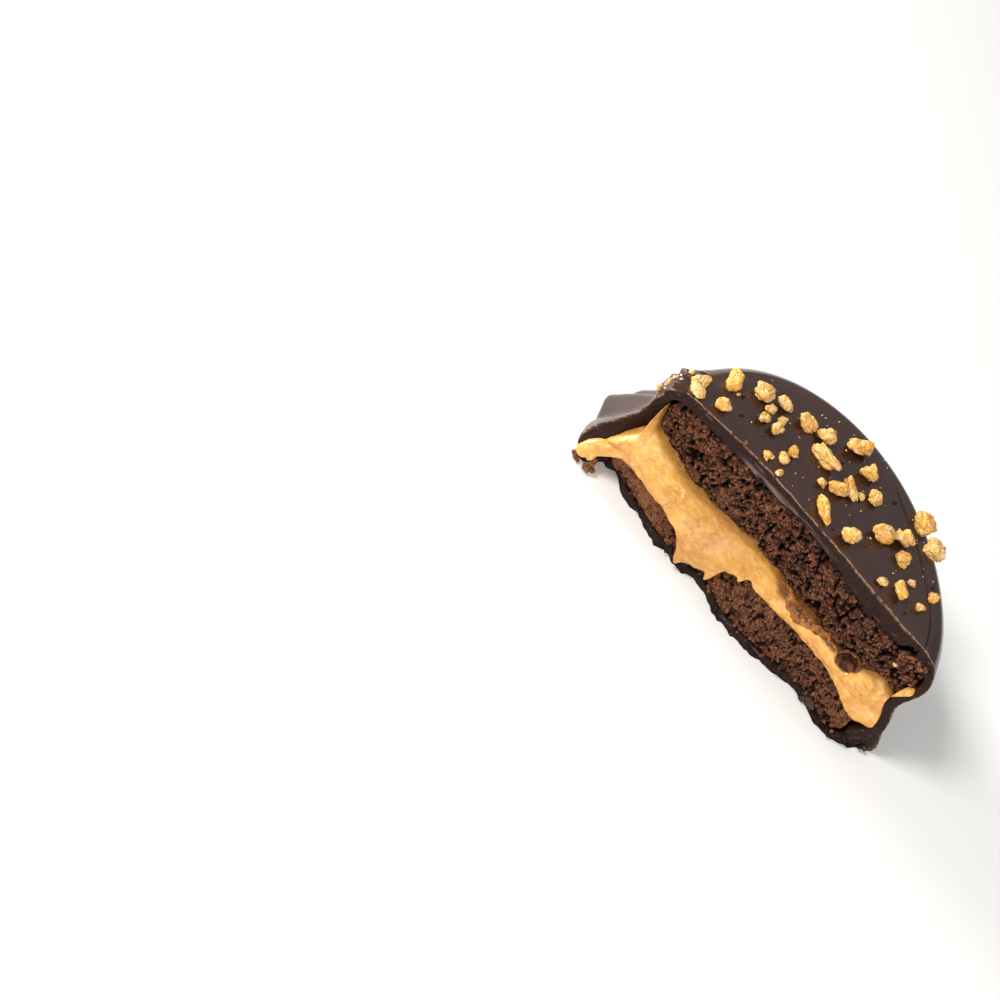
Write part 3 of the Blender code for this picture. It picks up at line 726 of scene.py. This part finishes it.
def top_relief(x, y, inward):
    """How far the top stands off its plane: slow waves behind the rim, and the crease with a raised lip."""
    away = crease_away(x, y)
    crease = 0.03 * bell(away, 0.5, 0.35) - CREASE_DEPTH * bell(away, 0, CREASE_WIDTH)
    waves = layers(x, y, (0.1, 9, 65), (0.03, 3, 66))
    return waves * ramp(inward, 0, 4) + crease * ramp(x, 5.5, 9) * ramp(inward, 0.05, 0.4)


def chocolate_coat(name):
    """The coat as one loop of rows that goes round its section, and two strips that close the walls' ends.

    From the cut's foot the rows run under the base, up the outside, over the top to the cut, down its face,
    and back along the inside. Each row goes from the cut's right end to its left. The top's lower border has
    a torn notch near its right end.
    """
    across = np.linspace(0, 1, ACROSS_WALL)
    outer, outer_cut = round_and_cut(
        profile_heights(OUTER, WALL_ROWS), same_level, outer_reach, coat_front, COLUMNS, COLUMNS)
    inner, inner_cut = round_and_cut(
        profile_heights(INNER, WALL_ROWS), same_level, inner_edge, coat_front, COLUMNS, COLUMNS)
    border = inner_cut[-1, :, 0]
    notch = stretch(border, 22.8, 25, 25.6, 26.4) * (1 + layers(border, 0, (0.35, 0.7, 57), (0.2, 0.3, 58)))
    inner_cut[-1, :, 2] += NOTCH_HEIGHT * notch
    inner_cut[-1, :, 1] += NOTCH_SETBACK * notch
    near_rim = np.linspace(0, 0.15, 26)[1:]
    middle = np.linspace(0.15, 0.93, 26)[1:]
    near_edge = 1 - np.geomspace(0.07, 0.002, 10)[1:]
    top = between(outer[-1], outer_cut[-1], np.concatenate([near_rim, middle, near_edge, [1]]))
    top[..., 2] += top_relief(top[..., 0], top[..., 1], np.linalg.norm(top - outer[-1], axis=-1))
    band = between(top[-1], inner_cut[-1], across[1:-1])
    sill = between(inner_cut[0], outer_cut[0], across[1:-1])
    ends = [between(outer[:, k], inner[:, k], across).transpose(1, 0, 2) for k in (0, -1)]
    inside = across[1:-1, None]
    for strip, share in ((band, inside), (sill, inside), (ends[0], across), (ends[1], across)):
        rough = layers(strip[..., 0], strip[..., 2], (0.14, 1.1, 55), (0.07, 0.45, 56))
        strip[..., 1] += rough * (4 * share * (1 - share)) ** 0.5
    under = between(outer_cut[0], outer[0], (0, 0.02, 0.06, 0.2, 0.6))
    roof = between(inner_cut[-1], inner[-1], (0, 0.03, 0.15, 0.6))
    floor = between(inner[0], inner_cut[0], (0.4, 0.85, 0.97, 1))
    rows = np.concatenate([under, outer, top, band, roof, inner[::-1], floor, sill, under[:1]])
    marks = {mark: [np.zeros(grid.shape[:2]) for grid in [rows] + ends]
             for mark in ("broken", "pale_edge", "crease_shade", "smeared")}
    on_top = slice(len(under) + len(outer), len(under) + len(outer) + len(top))
    on_band = slice(on_top.stop, on_top.stop + len(band))
    marks["broken"][0][on_band.start:-1] = 1
    marks["pale_edge"][0][on_top] = bell(np.linalg.norm(top - top[-1], axis=-1), 0, PALE_WIDTH)
    marks["pale_edge"][0][on_band.start] = 0.3
    # Mark for the painted shade in the crease.
    crease = bell(crease_away(top[..., 0], top[..., 1]), 0, GROOVE_WIDTH)
    marks["crease_shade"][0][on_top] = crease * ramp(top[..., 0], 6, 9)
    marks["smeared"][0][on_band] = ramp(inside, 0.5, 0.85) * stretch(band[..., 0], -17, -13, -2, 8)
    for k in (1, 2):
        marks["broken"][k][:] = 1
        marks["pale_edge"][k][:] = bell(across, 0, 0.06)
    coat = skin(name, [rows] + ends, [False, False, False], marks)
    second_material_where(coat.data, "broken")
    return coat


def second_material_where(mesh, mark):
    """Gives the second material to each face that has this mark at one of its corners."""
    value = np.empty(len(mesh.vertices), np.float32)
    mesh.attributes[mark].data.foreach_get("value", value)
    corner = np.empty(len(mesh.loops), np.int32)
    mesh.loops.foreach_get("vertex_index", corner)
    start = np.empty(len(mesh.polygons), np.int32)
    mesh.polygons.foreach_get("loop_start", start)
    marked = np.maximum.reduceat(value[corner], start) > 0.5
    mesh.polygons.foreach_set("material_index", marked.astype(np.int32))


def pale_edge_line(tree, base, fine):
    """The colour with a pale line along the sharp broken edge, broken up by a fine noise."""
    edge = node(tree, "Attribute", attribute_name="pale_edge").outputs["Fac"]
    ragged = node(tree, "MapRange", [("Value", fine)], socket_1=0.35, socket_2=0.5)
    edge_share = node(tree, "Math", [(0, edge), (1, ragged.outputs[0])], operation="MULTIPLY")
    return blend_colours(tree, edge_share.outputs[0], base, "a07a5c")


def tempered_dark_chocolate(name):
    """Dark chocolate that set on the outside: a satin skin of a slowly changing tone.

    Its crease is painted nearly black, as painted shade.
    """
    material, tree, shader = new_material(name, IOR=1.46, Specular_IOR_Level=0.56)
    place = node(tree, "TexCoord").outputs["Object"]
    crease_shade = node(tree, "Attribute", attribute_name="crease_shade").outputs["Fac"]
    clouds = node(tree, "TexNoise", [("Vector", place)], socket_2=per_metre(11.1), socket_3=4.0)
    clouds = clouds.outputs["Fac"]
    fine = node(tree, "TexNoise", [("Vector", place)], socket_2=per_metre(0.667), socket_3=3.0).outputs["Fac"]
    base = pale_edge_line(tree, laid_over(tree, "321c14", "3a2118", clouds, 0.3, 0.7), fine)
    # Painted shade: the crease is painted nearly black.
    base = blend_colours(tree, crease_shade, base, "160b08")
    satin = node(tree, "MapRange", [("Value", clouds)],
                 socket_1=0.3, socket_2=0.7, socket_3=0.19, socket_4=0.28)
    tree.links.new(shader.inputs["Roughness"], satin.outputs[0])
    surfaced(tree, shader, base, fine, 0.06, 0.25)
    return material


def snapped_dark_chocolate(name):
    """Dark chocolate where it broke: matt and grainy, with pale scratches, brown dust and a grey smear."""
    material, tree, shader = new_material(name, Roughness=0.66, IOR=1.46, Specular_IOR_Level=0.14)
    place = node(tree, "TexCoord").outputs["Object"]
    smeared = node(tree, "Attribute", attribute_name="smeared").outputs["Fac"]
    fine = node(tree, "TexNoise", [("Vector", place)], socket_2=per_metre(0.667), socket_3=3.0).outputs["Fac"]
    drag = node(tree, "Mapping", [("Vector", place)], socket_3=(0.12, 1, 1.6))
    scratch = node(tree, "TexNoise", [("Vector", drag.outputs[0])], socket_2=per_metre(0.588), socket_3=2.0)
    scratch = scratch.outputs["Fac"]
    dots = node(tree, "TexVoronoi", [("Vector", place)], socket_2=per_metre(0.77)).outputs["Distance"]
    rubbed = node(tree, "MapRange", [("Value", scratch)], socket_1=0.35, socket_2=0.55)
    grey = node(tree, "Math", [(0, smeared), (1, rubbed.outputs[0])], operation="MULTIPLY")
    base = blend_colours(tree, fine, "1b100c", "2d1a15")
    base = blend_colours(tree, grey.outputs[0], base, "6e5a54")
    base = laid_over(tree, base, "8d7a72", scratch, 0.66, 0.74, 0.38)
    base = laid_over(tree, base, "5f3a2b", dots, 0.16, 0.08, 0.4)
    surfaced(tree, shader, pale_edge_line(tree, base, fine), fine, 0.6, 0.25)
    return material


coat = chocolate_coat("chocolate_coat_shell")
coat.data.materials.append(tempered_dark_chocolate("tempered dark chocolate"))
coat.data.materials.append(snapped_dark_chocolate("snapped dark chocolate"))
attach(coat, "root")
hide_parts("chocolate_coat")


# Peanut praline bits
# Peanuts in boiled sugar, crushed and sieved to 2 to 7 mm, thrown on the wet chocolate, which holds their
# feet. Each is a lump of small grains, amber where the sugar is clear and pale where it is crushed.

LARGE_BITS = ((-29, 4.4, 4.8, 2.8, 58), (-28.3, 1.6, 3.6, 2.8, 0), (-25.1, 9.7, 4.7, 3.6, -50),
              (-24, 3.3, 3.1, 2.7, 20), (-20, 13, 4.4, 3.2, 22), (-16.4, 15, 4, 2.7, 30),
              (-11.6, 15.7, 4.2, 3.2, 15), (-7.6, 16.8, 3.7, 3.2, 60), (-6, 12.9, 7, 3.3, -20),
              (-2.6, 20.9, 5.2, 3.9, 38), (1.9, 18.3, 3.6, 3.3, 0), (5.1, 15, 3, 2.8, 0),
              (-0.7, 9.7, 4.8, 3, 35), (1.2, 11.9, 5.2, 2.2, -45), (-0.4, 3.4, 6.4, 2.6, -50),
              (5.5, 3.2, 4.4, 3.8, 30), (9.4, 10, 7, 3.7, 37), (12.9, 13, 3.9, 3.5, 0),
              (14.6, 9.3, 2.9, 2.6, 0), (14, 19.8, 5, 4.1, -45), (18.1, 16.6, 4.5, 3.7, 20),
              (17.4, 3.3, 3.7, 2.8, -50))
SMALL_BITS = ((-16.2, 10.2, 4, 2, 2.7), (-11.4, 3.4, 3, 1.9, 2.2), (-10.3, 8, 1, 0, 2.7),
              (-3.6, 8, 1, 0, 2.2), (3.1, 13.1, 1, 0, 1.7), (14, 1.8, 1, 0, 2.1), (20.8, 6.6, 3, 2.6, 2))
BIT_SEED = 7
BIT_HEIGHT = 0.85
BIT_LIFT = 0.3
BIT_TILT = 0.2
BIT_LUMP = {"across": 32, "around": 46, "balls": 8, "flats": 10, "grain": 120, "swell": 0.42}
SHOULDER_FOOT = 19


def praline_sizes():
    """X, Y, length, width and turn of every bit. Small ones stand round their group's place, as drawn."""
    draw = np.random.default_rng(BIT_SEED)
    bits = [(x, y, length, width, np.radians(turn)) for x, y, length, width, turn in LARGE_BITS]
    for x, y, count, spread, mean in SMALL_BITS:
        turn = draw.uniform(0, 2 * np.pi)
        for k in range(count):
            angle = turn + 2 * np.pi * k / count
            length = mean * draw.uniform(0.85, 1.15)
            place = (x + spread * np.cos(angle), y + spread * np.sin(angle))
            bits.append((*place, length, 0.8 * length, 2 * angle))
    return bits


def top_height(x, y):
    """Height of the chocolate's outside over this place: flat, then round the shoulder to its widest ring."""
    angle = np.arctan2(y - CENTRE_Y, x - CENTRE_X)
    beyond = np.hypot(x - CENTRE_X, y - CENTRE_Y) - plan_radius(angle)
    rings = [(distance, z) for z, distance in reversed(OUTER) if z >= SHOULDER_FOOT]
    return np.interp(beyond, *np.transpose(rings))


def lumpy_ball(draw, across, around, balls, flats, grain, swell):
    """Points of a closed lump within 1 of its middle, a row from pole to pole.

    Along each direction it reaches the far side of the outermost of several balls and is cut off by flat
    planes. Round grains that stand out by swell times their own size lie on it.
    """
    polar = np.linspace(0, np.pi, across)[:, None]
    turn = np.linspace(0, 2 * np.pi, around, endpoint=False)
    level = np.cos(polar) + 0 * turn
    ray = np.stack([np.sin(polar) * np.cos(turn), np.sin(polar) * np.sin(turn), level], -1)
    centres = np.vstack([draw.normal(0, 0.27, (balls, 3)), [[0, 0, 0]]])
    radii = np.append(draw.uniform(0.34, 0.55, balls), 0.47)
    ahead = ray @ centres.T
    spare = ahead ** 2 - (centres ** 2).sum(1) + radii ** 2
    far = np.where(spare > 0, ahead + np.sqrt(np.maximum(spare, 0)), 0).max(-1)
    facing = draw.normal(0, 1, (flats, 3))
    facing /= np.linalg.norm(facing, axis=1)[:, None]
    slope = ray @ facing.T
    flat = draw.uniform(0.5, 0.75, flats) / np.maximum(slope, 0.2)
    far = np.minimum(far, np.where(slope > 0.2, flat, 9).min(-1))
    spots = draw.normal(0, 1, (grain, 3))
    spots /= np.linalg.norm(spots, axis=1)[:, None]
    size = draw.uniform(0.12, 0.3, grain)
    bumps = np.sqrt(np.clip(1 - (1 - ray @ spots.T) / (0.5 * size ** 2), 0, 1)) * size * swell
    lump = ray * (far + bumps.max(-1))[..., None]
    return lump / np.abs(lump).max((0, 1))


def placed(lump, size, turn, tilt, place):
    """The lump drawn out to this length, width and height, tilted in its length, turned about Z and moved."""
    x, y, z = np.moveaxis(lump * np.asarray(size) / 2, -1, 0)
    x, z = x * np.cos(tilt) + z * np.sin(tilt), z * np.cos(tilt) - x * np.sin(tilt)
    x, y = x * np.cos(turn) - y * np.sin(turn), x * np.sin(turn) + y * np.cos(turn)
    return np.stack([x, y, z], -1) + np.asarray(place)


def strewn_lumps(name, grids, **marks):
    """Many closed lumps as one mesh. A mark has for each lump one number, or a grid of them."""
    spread = {mark: [np.broadcast_to(value, grid.shape[:2]) for value, grid in zip(values, grids)]
              for mark, values in marks.items()}
    return skin(name, grids, [True] * len(grids), spread, weld=1e-5)


def praline_bits(name):
    """All the bits as one mesh, each a lumpy ball drawn out, turned and set on the chocolate."""
    draw = np.random.default_rng(BIT_SEED + 1)
    grids, tones = [], []
    for x, y, length, width, turn in praline_sizes():
        lump = lumpy_ball(draw, **BIT_LUMP)
        size = (length, width, BIT_HEIGHT * width)
        place = (x, y, top_height(x, y) + BIT_LIFT * width)
        grids.append(placed(lump, size, turn, draw.uniform(-BIT_TILT, BIT_TILT), place))
        tones.append(draw.uniform(0, 1))
    return strewn_lumps(name, grids, tone=tones)


def crushed_peanut_praline(name):
    """Boiled sugar and peanut, crushed: amber and clear in its depth, frosted pale where its grains broke."""
    material, tree, shader = new_material(
        name, Roughness=0.42, IOR=1.52, Subsurface_Weight=0.2, Subsurface_Scale=0.0008,
        Subsurface_Radius=(1.0, 0.7, 0.3),
    )
    place = node(tree, "TexCoord").outputs["Object"]
    own = node(tree, "Attribute", attribute_name="tone").outputs["Fac"]
    clouds = node(tree, "TexNoise", [("Vector", place)], socket_2=per_metre(1.67), socket_3=3.0)
    rime = node(tree, "TexNoise", [("Vector", place)], socket_2=per_metre(0.77), socket_3=4.0).outputs["Fac"]
    fine = node(tree, "TexNoise", [("Vector", place)], socket_2=per_metre(0.455), socket_3=3.0).outputs["Fac"]
    crystals = node(tree, "TexVoronoi", [("Vector", place)], socket_2=per_metre(0.385))
    amber = node(tree, "Math", [(0, clouds.outputs["Fac"]), (2, own)], operation="MULTIPLY_ADD", socket_1=2.6)
    base = laid_over(tree, "dcb064", "de9c2c", amber.outputs[0], 1.2, 2.1)
    base = laid_over(tree, base, "f3dfba", rime, 0.49, 0.64, 0.55)
    base = laid_over(tree, base, "b97d1f", fine, 0.42, 0.34, 0.4)
    grit = node(tree, "Math", [(0, fine), (1, crystals.outputs["Distance"])], operation="SUBTRACT")
    surfaced(tree, shader, base, grit.outputs[0], 0.9, 0.3)
    return material


praline = praline_bits("peanut_praline_bits")
praline.data.materials.append(crushed_peanut_praline("crushed peanut praline"))
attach(praline, "root")


# Praline dust and chips
# What the sieve let through: pale sugar specks all over the top, and flat chips of nut and sugar. Most of
# the chips were caught on the left shoulder, where they stand on edge.

CHIPS = ((-32.9, 0.6, 19.9, 2, 1.2, 1.1, 70, 10), (-32.5, 2.2, 20.8, 2.6, 1.2, 0.9, 75, -20),
         (-31.9, 4, 21.6, 2.2, 1.2, 1, 60, -10), (-30.9, 6, 22.4, 1.7, 1.5, 1.4, 10, 0),
         (21.9, 5, 24.1, 0.9, 0.6, 0.4, 10, 0), (-23.2, 8.4, 24.3, 1.2, 0.7, 0.6, 60, 0),
         (25.1, -3.9, 19.1, 1.1, 0.5, 0.6, 10, 15))
CHIP_LUMP = {"across": 18, "around": 26, "balls": 6, "flats": 12, "grain": 20, "swell": 0.3}
DUST = 60
DUST_SIZE = (0.14, 0.34)
DUST_TONE = -0.6
DUST_LUMP = {"across": 6, "around": 8, "balls": 3, "flats": 6, "grain": 2, "swell": 0.1}
FROM_CUT = 2.5
FROM_RIM = 4


def chips_and_dust(name):
    """Chips at given places and specks drawn over the top, all as one mesh."""
    draw = np.random.default_rng(BIT_SEED + 2)
    grids, tones = [], []
    for x, y, z, length, width, height, turn, tilt in CHIPS:
        lump = lumpy_ball(draw, **CHIP_LUMP)
        grids.append(placed(lump, (length, width, height), np.radians(turn), np.radians(tilt), (x, y, z)))
        tones.append(draw.uniform(0.3, 1))
    for _ in range(DUST):
        angle, share = draw.uniform(0, np.pi), np.sqrt(draw.uniform(0.02, 0.95))
        x = CENTRE_X + share * RADIUS * np.cos(angle)
        y = CENTRE_Y + FROM_CUT + share * (RADIUS - FROM_RIM) * np.sin(angle)
        size = draw.uniform(*DUST_SIZE)
        lump = lumpy_ball(draw, **DUST_LUMP)
        turn, place = draw.uniform(0, 2 * np.pi), (x, y, top_height(x, y) + 0.25 * size)
        grids.append(placed(lump, (1.5 * size, size, 0.7 * size), turn, 0, place))
        tones.append(DUST_TONE)
    return strewn_lumps(name, grids, tone=tones)


dust = chips_and_dust("praline_chips_and_dust")
dust.data.materials.append(crushed_peanut_praline("praline dust"))
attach(dust, "root")


# Cream squeezed past the ends
# The knife pushed the soft cream out of the cut's left end, where a tongue of it rests beyond the chocolate,
# and left a streak high on the right wall. It is the same peanut cream.

TONGUE = ((-26.5, 0.6, 7.2, 0), (-28.6, -0.6, 7.2, 1.5), (-30.4, -1.8, 6.4, 1.5),
          (-31.8, -2.6, 5.2, 1.4), (-32.9, -3, 4, 1.45), (-33.6, -3.2, 2.9, 1.4), (-34, -3.3, 1.8, 1),
          (-34.1, -3.4, 1.2, 0))
TIP = ((-33, -3.1, 3.6, 0), (-32.6, -3.4, 3.1, 1), (-32.2, -3.5, 2.4, 0.8), (-32, -3.6, 1.7, 0))
STREAK = ((29.2, -3, 13, 0), (29.6, -3, 14.2, 0.35), (30, -2.8, 15.4, 0.6), (30.4, -2.7, 16.6, 0.75),
          (30.7, -2.6, 17.6, 0))
ROLL_STEPS = 44
ROLL_SIDES = 40


def rolled(knots, seed):
    """Rings across a smooth path, each with the path's radius there times a slow noise, shut at both ends."""
    along = np.linspace(0, len(knots) - 1, ROLL_STEPS)
    x, y, z, radius = (through(along, list(enumerate(column))) for column in np.transpose(knots))
    path = np.stack([x, y, z], -1)
    ahead = np.gradient(path, axis=0)
    ahead /= np.linalg.norm(ahead, axis=1)[:, None]
    side = np.cross(ahead, (0, 1, 0))
    side /= np.linalg.norm(side, axis=1)[:, None]
    turn = np.linspace(0, 2 * np.pi, ROLL_SIDES, endpoint=False)
    uneven = 1 + 0.22 * lumps(along[:, None] + 3, 1.5 * np.cos(turn) + 8, 0.9, seed)
    reach = (radius[:, None] * uneven)[..., None]
    turn, other_side = turn[:, None], np.cross(side, ahead)
    across = side[:, None] * np.cos(turn) + other_side[:, None] * np.sin(turn)
    return path[:, None] + reach * across


def squeezed_cream(name):
    """Soft rolls of cream that run into each other."""
    grids = [rolled(knots, 71 + k) for k, knots in enumerate((TONGUE, TIP, STREAK))]
    return strewn_lumps(name, grids, thin=[0.0] * len(grids))


squeezed = squeezed_cream("peanut_cream_squeezed_out")
squeezed.data.materials.append(whipped_peanut_cream("whipped peanut cream, squeezed out"))
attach(squeezed, "root")


# Caramel smear
# Boiled sugar from the praline, softened and dragged along the upper biscuit's lower edge by the knife. It
# is a thin glossy film, brown where it lies thick and torn open where the crumb stands up through it.

SMEAR_TOP = ((3, 12.4), (4.8, 12.6), (8.4, 11.8), (11.1, 12), (12.6, 12.3), (13.8, 12.7), (16.4, 12.6),
             (18.2, 12.6))
SMEAR_FOOT = ((3, 12.1), (4.8, 11.6), (8.4, 10.2), (11.1, 10.4), (12.6, 10.8), (13.8, 11.6), (16.4, 11.5),
              (18.2, 12.3))
SMEAR_THICKNESS = 0.3
SMEAR_ACROSS = 15
SMEAR_STEPS = 180


def caramel_smear(name):
    """A strip between two lines with a rounded front and a flat back, its borders and thickness uneven."""
    share = np.linspace(0, 1, SMEAR_ACROSS)[:, None]
    x = np.linspace(SMEAR_TOP[0][0], SMEAR_TOP[-1][0], SMEAR_STEPS)
    foot = through(x, SMEAR_FOOT) + layers(x, 0, (0.25, 0.9, 81), (0.15, 0.4, 84))
    top = through(x, SMEAR_TOP) + layers(x, 0, (0.25, 0.7, 82), (0.15, 0.4, 85))
    z = foot + share * np.maximum(top - foot, 0.05)
    taper = np.sin(np.pi * np.linspace(0, 1, len(x))) ** 0.3
    uneven = 1 + layers(x, z, (1.1, 1.1, 83), (0.7, 0.4, 86))
    thickness = SMEAR_THICKNESS * uneven * taper * np.sqrt(4 * share * (1 - share))
    y = np.minimum(cream_front(x, z, 0.5), upper_plain(x, z) - 0.1) - 0.05
    front = np.stack([x + 0 * z, y - thickness, z], -1)
    back = np.stack([x + 0 * z, y + 0.4 * taper, z], -1)
    return skin(name, [np.concatenate([front, back[::-1]]).transpose(1, 0, 2)], [True], {})


def pulled_caramel(name):
    """Boiled sugar: clear brown with a wet gloss, darker where it is thick, with pale crumbs of nut in it."""
    material, tree, shader = new_material(name, Roughness=0.26, IOR=1.5, Specular_IOR_Level=0.3)
    place = node(tree, "TexCoord").outputs["Object"]
    clouds = node(tree, "TexNoise", [("Vector", place)], socket_2=per_metre(1.11), socket_3=3.0)
    fine = node(tree, "TexNoise", [("Vector", place)], socket_2=per_metre(0.526), socket_3=2.0).outputs["Fac"]
    base = laid_over(tree, "46240a", "9c5c16", clouds.outputs["Fac"], 0.35, 0.65)
    base = laid_over(tree, base, "b98448", fine, 0.58, 0.66, 0.5)
    surfaced(tree, shader, base, fine, 0.6, 0.4)
    return material


smear = caramel_smear("caramel_smear")
smear.data.materials.append(pulled_caramel("pulled caramel"))
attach(smear, "root")


# Biscuit crumbs
# Cocoa crumb that the break let go: under the cream's tongue at the left foot, along the foot of the cut,
# at the upper biscuit's right end, and a few grains on the top. Each is a grain of the same baked dough.

CRUMBS = ((-34.4, -3.6, 0.6, 1.3), (-33.7, -3.8, 0.8, 1.6), (-33.2, -4.1, 0.5, 1), (-31, -3.9, 1.9, 1.5),
          (-31.1, -3.8, 2.8, 1.4), (-31, -4.1, 0.9, 1.5), (-30.2, -3.9, 1.2, 1.2), (-31.7, -4, 0.7, 1.1),
          (-17.3, 1.2, 24.3, 1), (-16.4, 0.9, 24.2, 0.7), (-32.1, 2.6, 21.3, 1.1), (-31.3, 5.1, 22.1, 1.2),
          (-32.4, 0.9, 20.6, 0.8))
SMALL_CRUMB_LUMP = {"across": 18, "around": 26, "balls": 6, "flats": 8, "grain": 24, "swell": 0.5}
LARGE_CRUMB_LUMP = {"across": 36, "around": 50, "balls": 9, "flats": 6, "grain": 100, "swell": 0.5}
LARGE_FROM = 1
END_CRUMBS = 22
END_CRUMB_SIZE = (0.5, 1.3)
FOOT_CRUMBS = 60
FOOT_CRUMB_SIZE = (0.3, 0.9)


def biscuit_crumbs(name):
    """Crumbs at given places, and others drawn along the foot of the cut and at the biscuit's right end."""
    draw = np.random.default_rng(91)
    places = list(CRUMBS)
    for _ in range(FOOT_CRUMBS):
        x, size = draw.uniform(-24, 29), draw.uniform(*FOOT_CRUMB_SIZE)
        z = LOWER_BOTTOM + draw.uniform(-0.2, 1.2)
        places.append((x, lower_plain(x, z) - draw.uniform(0, 0.5), z, size))
    for _ in range(END_CRUMBS):
        x, z, size = draw.uniform(24.4, 29.6), draw.uniform(19.8, 22.2), draw.uniform(*END_CRUMB_SIZE)
        places.append((x, upper_plain(x, z) - draw.uniform(0, 0.3), z, size))
    grids, hollows = [], []
    for x, y, z, size in places:
        lump = lumpy_ball(draw, **(SMALL_CRUMB_LUMP if size < LARGE_FROM else LARGE_CRUMB_LUMP))
        shape = size * draw.uniform(0.7, 1.2, 3)
        place = (x, y, max(z, 0.65 * size))
        grids.append(placed(lump, shape, draw.uniform(0, 2 * np.pi), draw.uniform(-0.5, 0.5), place))
        # Painted shade: each crumb is painted darker in its dents, over a random tone.
        dent = 1 - np.linalg.norm(lump, axis=-1)
        hollows.append(np.clip(draw.uniform(0, 0.3) + 1.6 * (dent - dent.mean()), 0, 1))
    return strewn_lumps(name, grids, hollow=hollows)


crumbs = biscuit_crumbs("cocoa_biscuit_crumbs")
crumbs.data.materials.append(baked_cocoa_crumb("loose cocoa crumbs", "7c4930", "4a291a"))
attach(crumbs, "root")


# Chocolate shards
# Flakes that split off when the coat snapped. They hang from the lower border of its top edge, in front of
# the biscuit, and lie along the broken foot, and a few lie on the top.

FLAKES = ((22, -5.2, 1.5, 3), (20.8, -5, 0.9, 1.6), (28.4, -2.4, 23.2, 1.2))
BAND_SHARDS = 70
FOOT_SHARDS = 60
TOP_SHARDS = 16
SHARD_LUMP = {"across": 10, "around": 14, "balls": 4, "flats": 16, "grain": 2, "swell": 0.1}
SHARD_PALENESS = 0.1


def shard_places(draw):
    """Place and size of every shard: along the top edge's lower border, along the foot, and on the top."""
    places = list(FLAKES)
    for _ in range(BAND_SHARDS):
        x, size = draw.uniform(-25, 30), draw.uniform(0.5, 1.7) * draw.uniform(0.5, 1)
        z = ROOF - 0.1 - abs(draw.normal(0, 0.45))
        places.append((x, through(x, BAND_FOOT) + draw.uniform(-0.3, 0.5), z, size))
    for _ in range(FOOT_SHARDS):
        x, size = draw.uniform(-31, 34), draw.uniform(0.4, 1.6)
        z = draw.uniform(0.3, 1.4) + 0.5 * size
        places.append((x, through(x, COAT_FOOT) + draw.uniform(-0.5, 0.3), z, size))
    for _ in range(TOP_SHARDS):
        x, y, size = draw.uniform(-26, 26), draw.uniform(0.5, 20), draw.uniform(0.3, 0.8)
        places.append((x, y, top_height(x, y) + 0.15 * size, size))
    return places


def chocolate_shards(name):
    """Angular flakes: lumpy balls cut by many flats and drawn out, as one mesh. A fifth are a little pale."""
    draw = np.random.default_rng(101)
    grids = []
    for x, y, z, size in shard_places(draw):
        lump = lumpy_ball(draw, **SHARD_LUMP)
        shape = size * np.array([draw.uniform(0.9, 1.6), draw.uniform(0.4, 0.8), draw.uniform(0.5, 1)])
        shard = placed(lump, shape, draw.normal(0, 0.5), draw.uniform(-0.8, 0.8), (x, y, z))
        shard[..., 2] -= min(shard[..., 2].min(), 0)
        grids.append(shard)
    pale = [SHARD_PALENESS * (draw.uniform() > 0.8) for _ in grids]
    return strewn_lumps(name, grids, pale_edge=pale, smeared=[0.0] * len(grids))


shards = chocolate_shards("chocolate_shards")
shards.data.materials.append(snapped_dark_chocolate("splintered dark chocolate"))
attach(shards, "root")


# Studio
# A plain pale floor, soft square lights on all sides with the strongest on the left, an even pale room, and
# the camera where the photograph was taken.

CAMERA_PLACE = (-64.20983, -364.15202, 322.27358)
CAMERA_AXES = ((0.69316524, 0.46628505, 0.54963642), (-0.71861297, 0.50614364, 0.47687946),
               (-0.05583322, -0.72553213, 0.68591967))
LENS = 106.6176
LIT_POINT = (0, 0, 12)
FLOOR_HALF = 4.0


def area_light(name, place, size, power):
    """A soft square light of this size in millimetres, which faces the lit point."""
    light = bpy.data.lights.new(name, "AREA")
    light.energy = power
    light.size = size * MM
    lamp = bpy.data.objects.new(name, light)
    lamp.location = Vector(place) * MM
    lamp.rotation_euler = (Vector(LIT_POINT) - Vector(place)).to_track_quat("-Z", "Y").to_euler()
    bpy.context.scene.collection.objects.link(lamp)


floor_mesh = bpy.data.meshes.new("studio_floor")
floor_corners = [(FLOOR_HALF * x, FLOOR_HALF * y, 0) for x, y in ((-1, -1), (1, -1), (1, 1), (-1, 1))]
floor_mesh.from_pydata(floor_corners, [], [(0, 1, 2, 3)])
studio_floor = bpy.data.objects.new("studio_floor", floor_mesh)
bpy.context.scene.collection.objects.link(studio_floor)
paper, _, _ = new_material("matt white paper", Roughness=0.9)
paper.node_tree.nodes["Principled BSDF"].inputs["Base Color"].default_value = linear("f4f2ef")
floor_mesh.materials.append(paper)

area_light("key", (-270, -190, 350), 130, 1.65)
area_light("soft_back", (40, 420, 400), 420, 0.15)
area_light("side_glow", (-470, 90, 95), 130, 3.4)
area_light("low_fill", (-280, -420, 70), 300, 0.45)
area_light("front_fill", (260, -380, 180), 380, 1.8)

world = bpy.data.worlds.new("soft_room")
world.use_nodes = True
world.node_tree.nodes["Background"].inputs["Color"].default_value = (1, 1, 1, 1)
world.node_tree.nodes["Background"].inputs["Strength"].default_value = 0.3
bpy.context.scene.world = world
bpy.context.scene.view_settings.view_transform = "Standard"

camera = bpy.data.objects.new("camera", bpy.data.cameras.new("camera"))
camera.data.lens = LENS
camera.data.clip_start = 0.01
camera.matrix_world = Matrix(CAMERA_AXES).transposed().to_4x4()
camera.location = Vector(CAMERA_PLACE) * MM
bpy.context.scene.collection.objects.link(camera)
bpy.context.scene.camera = camera
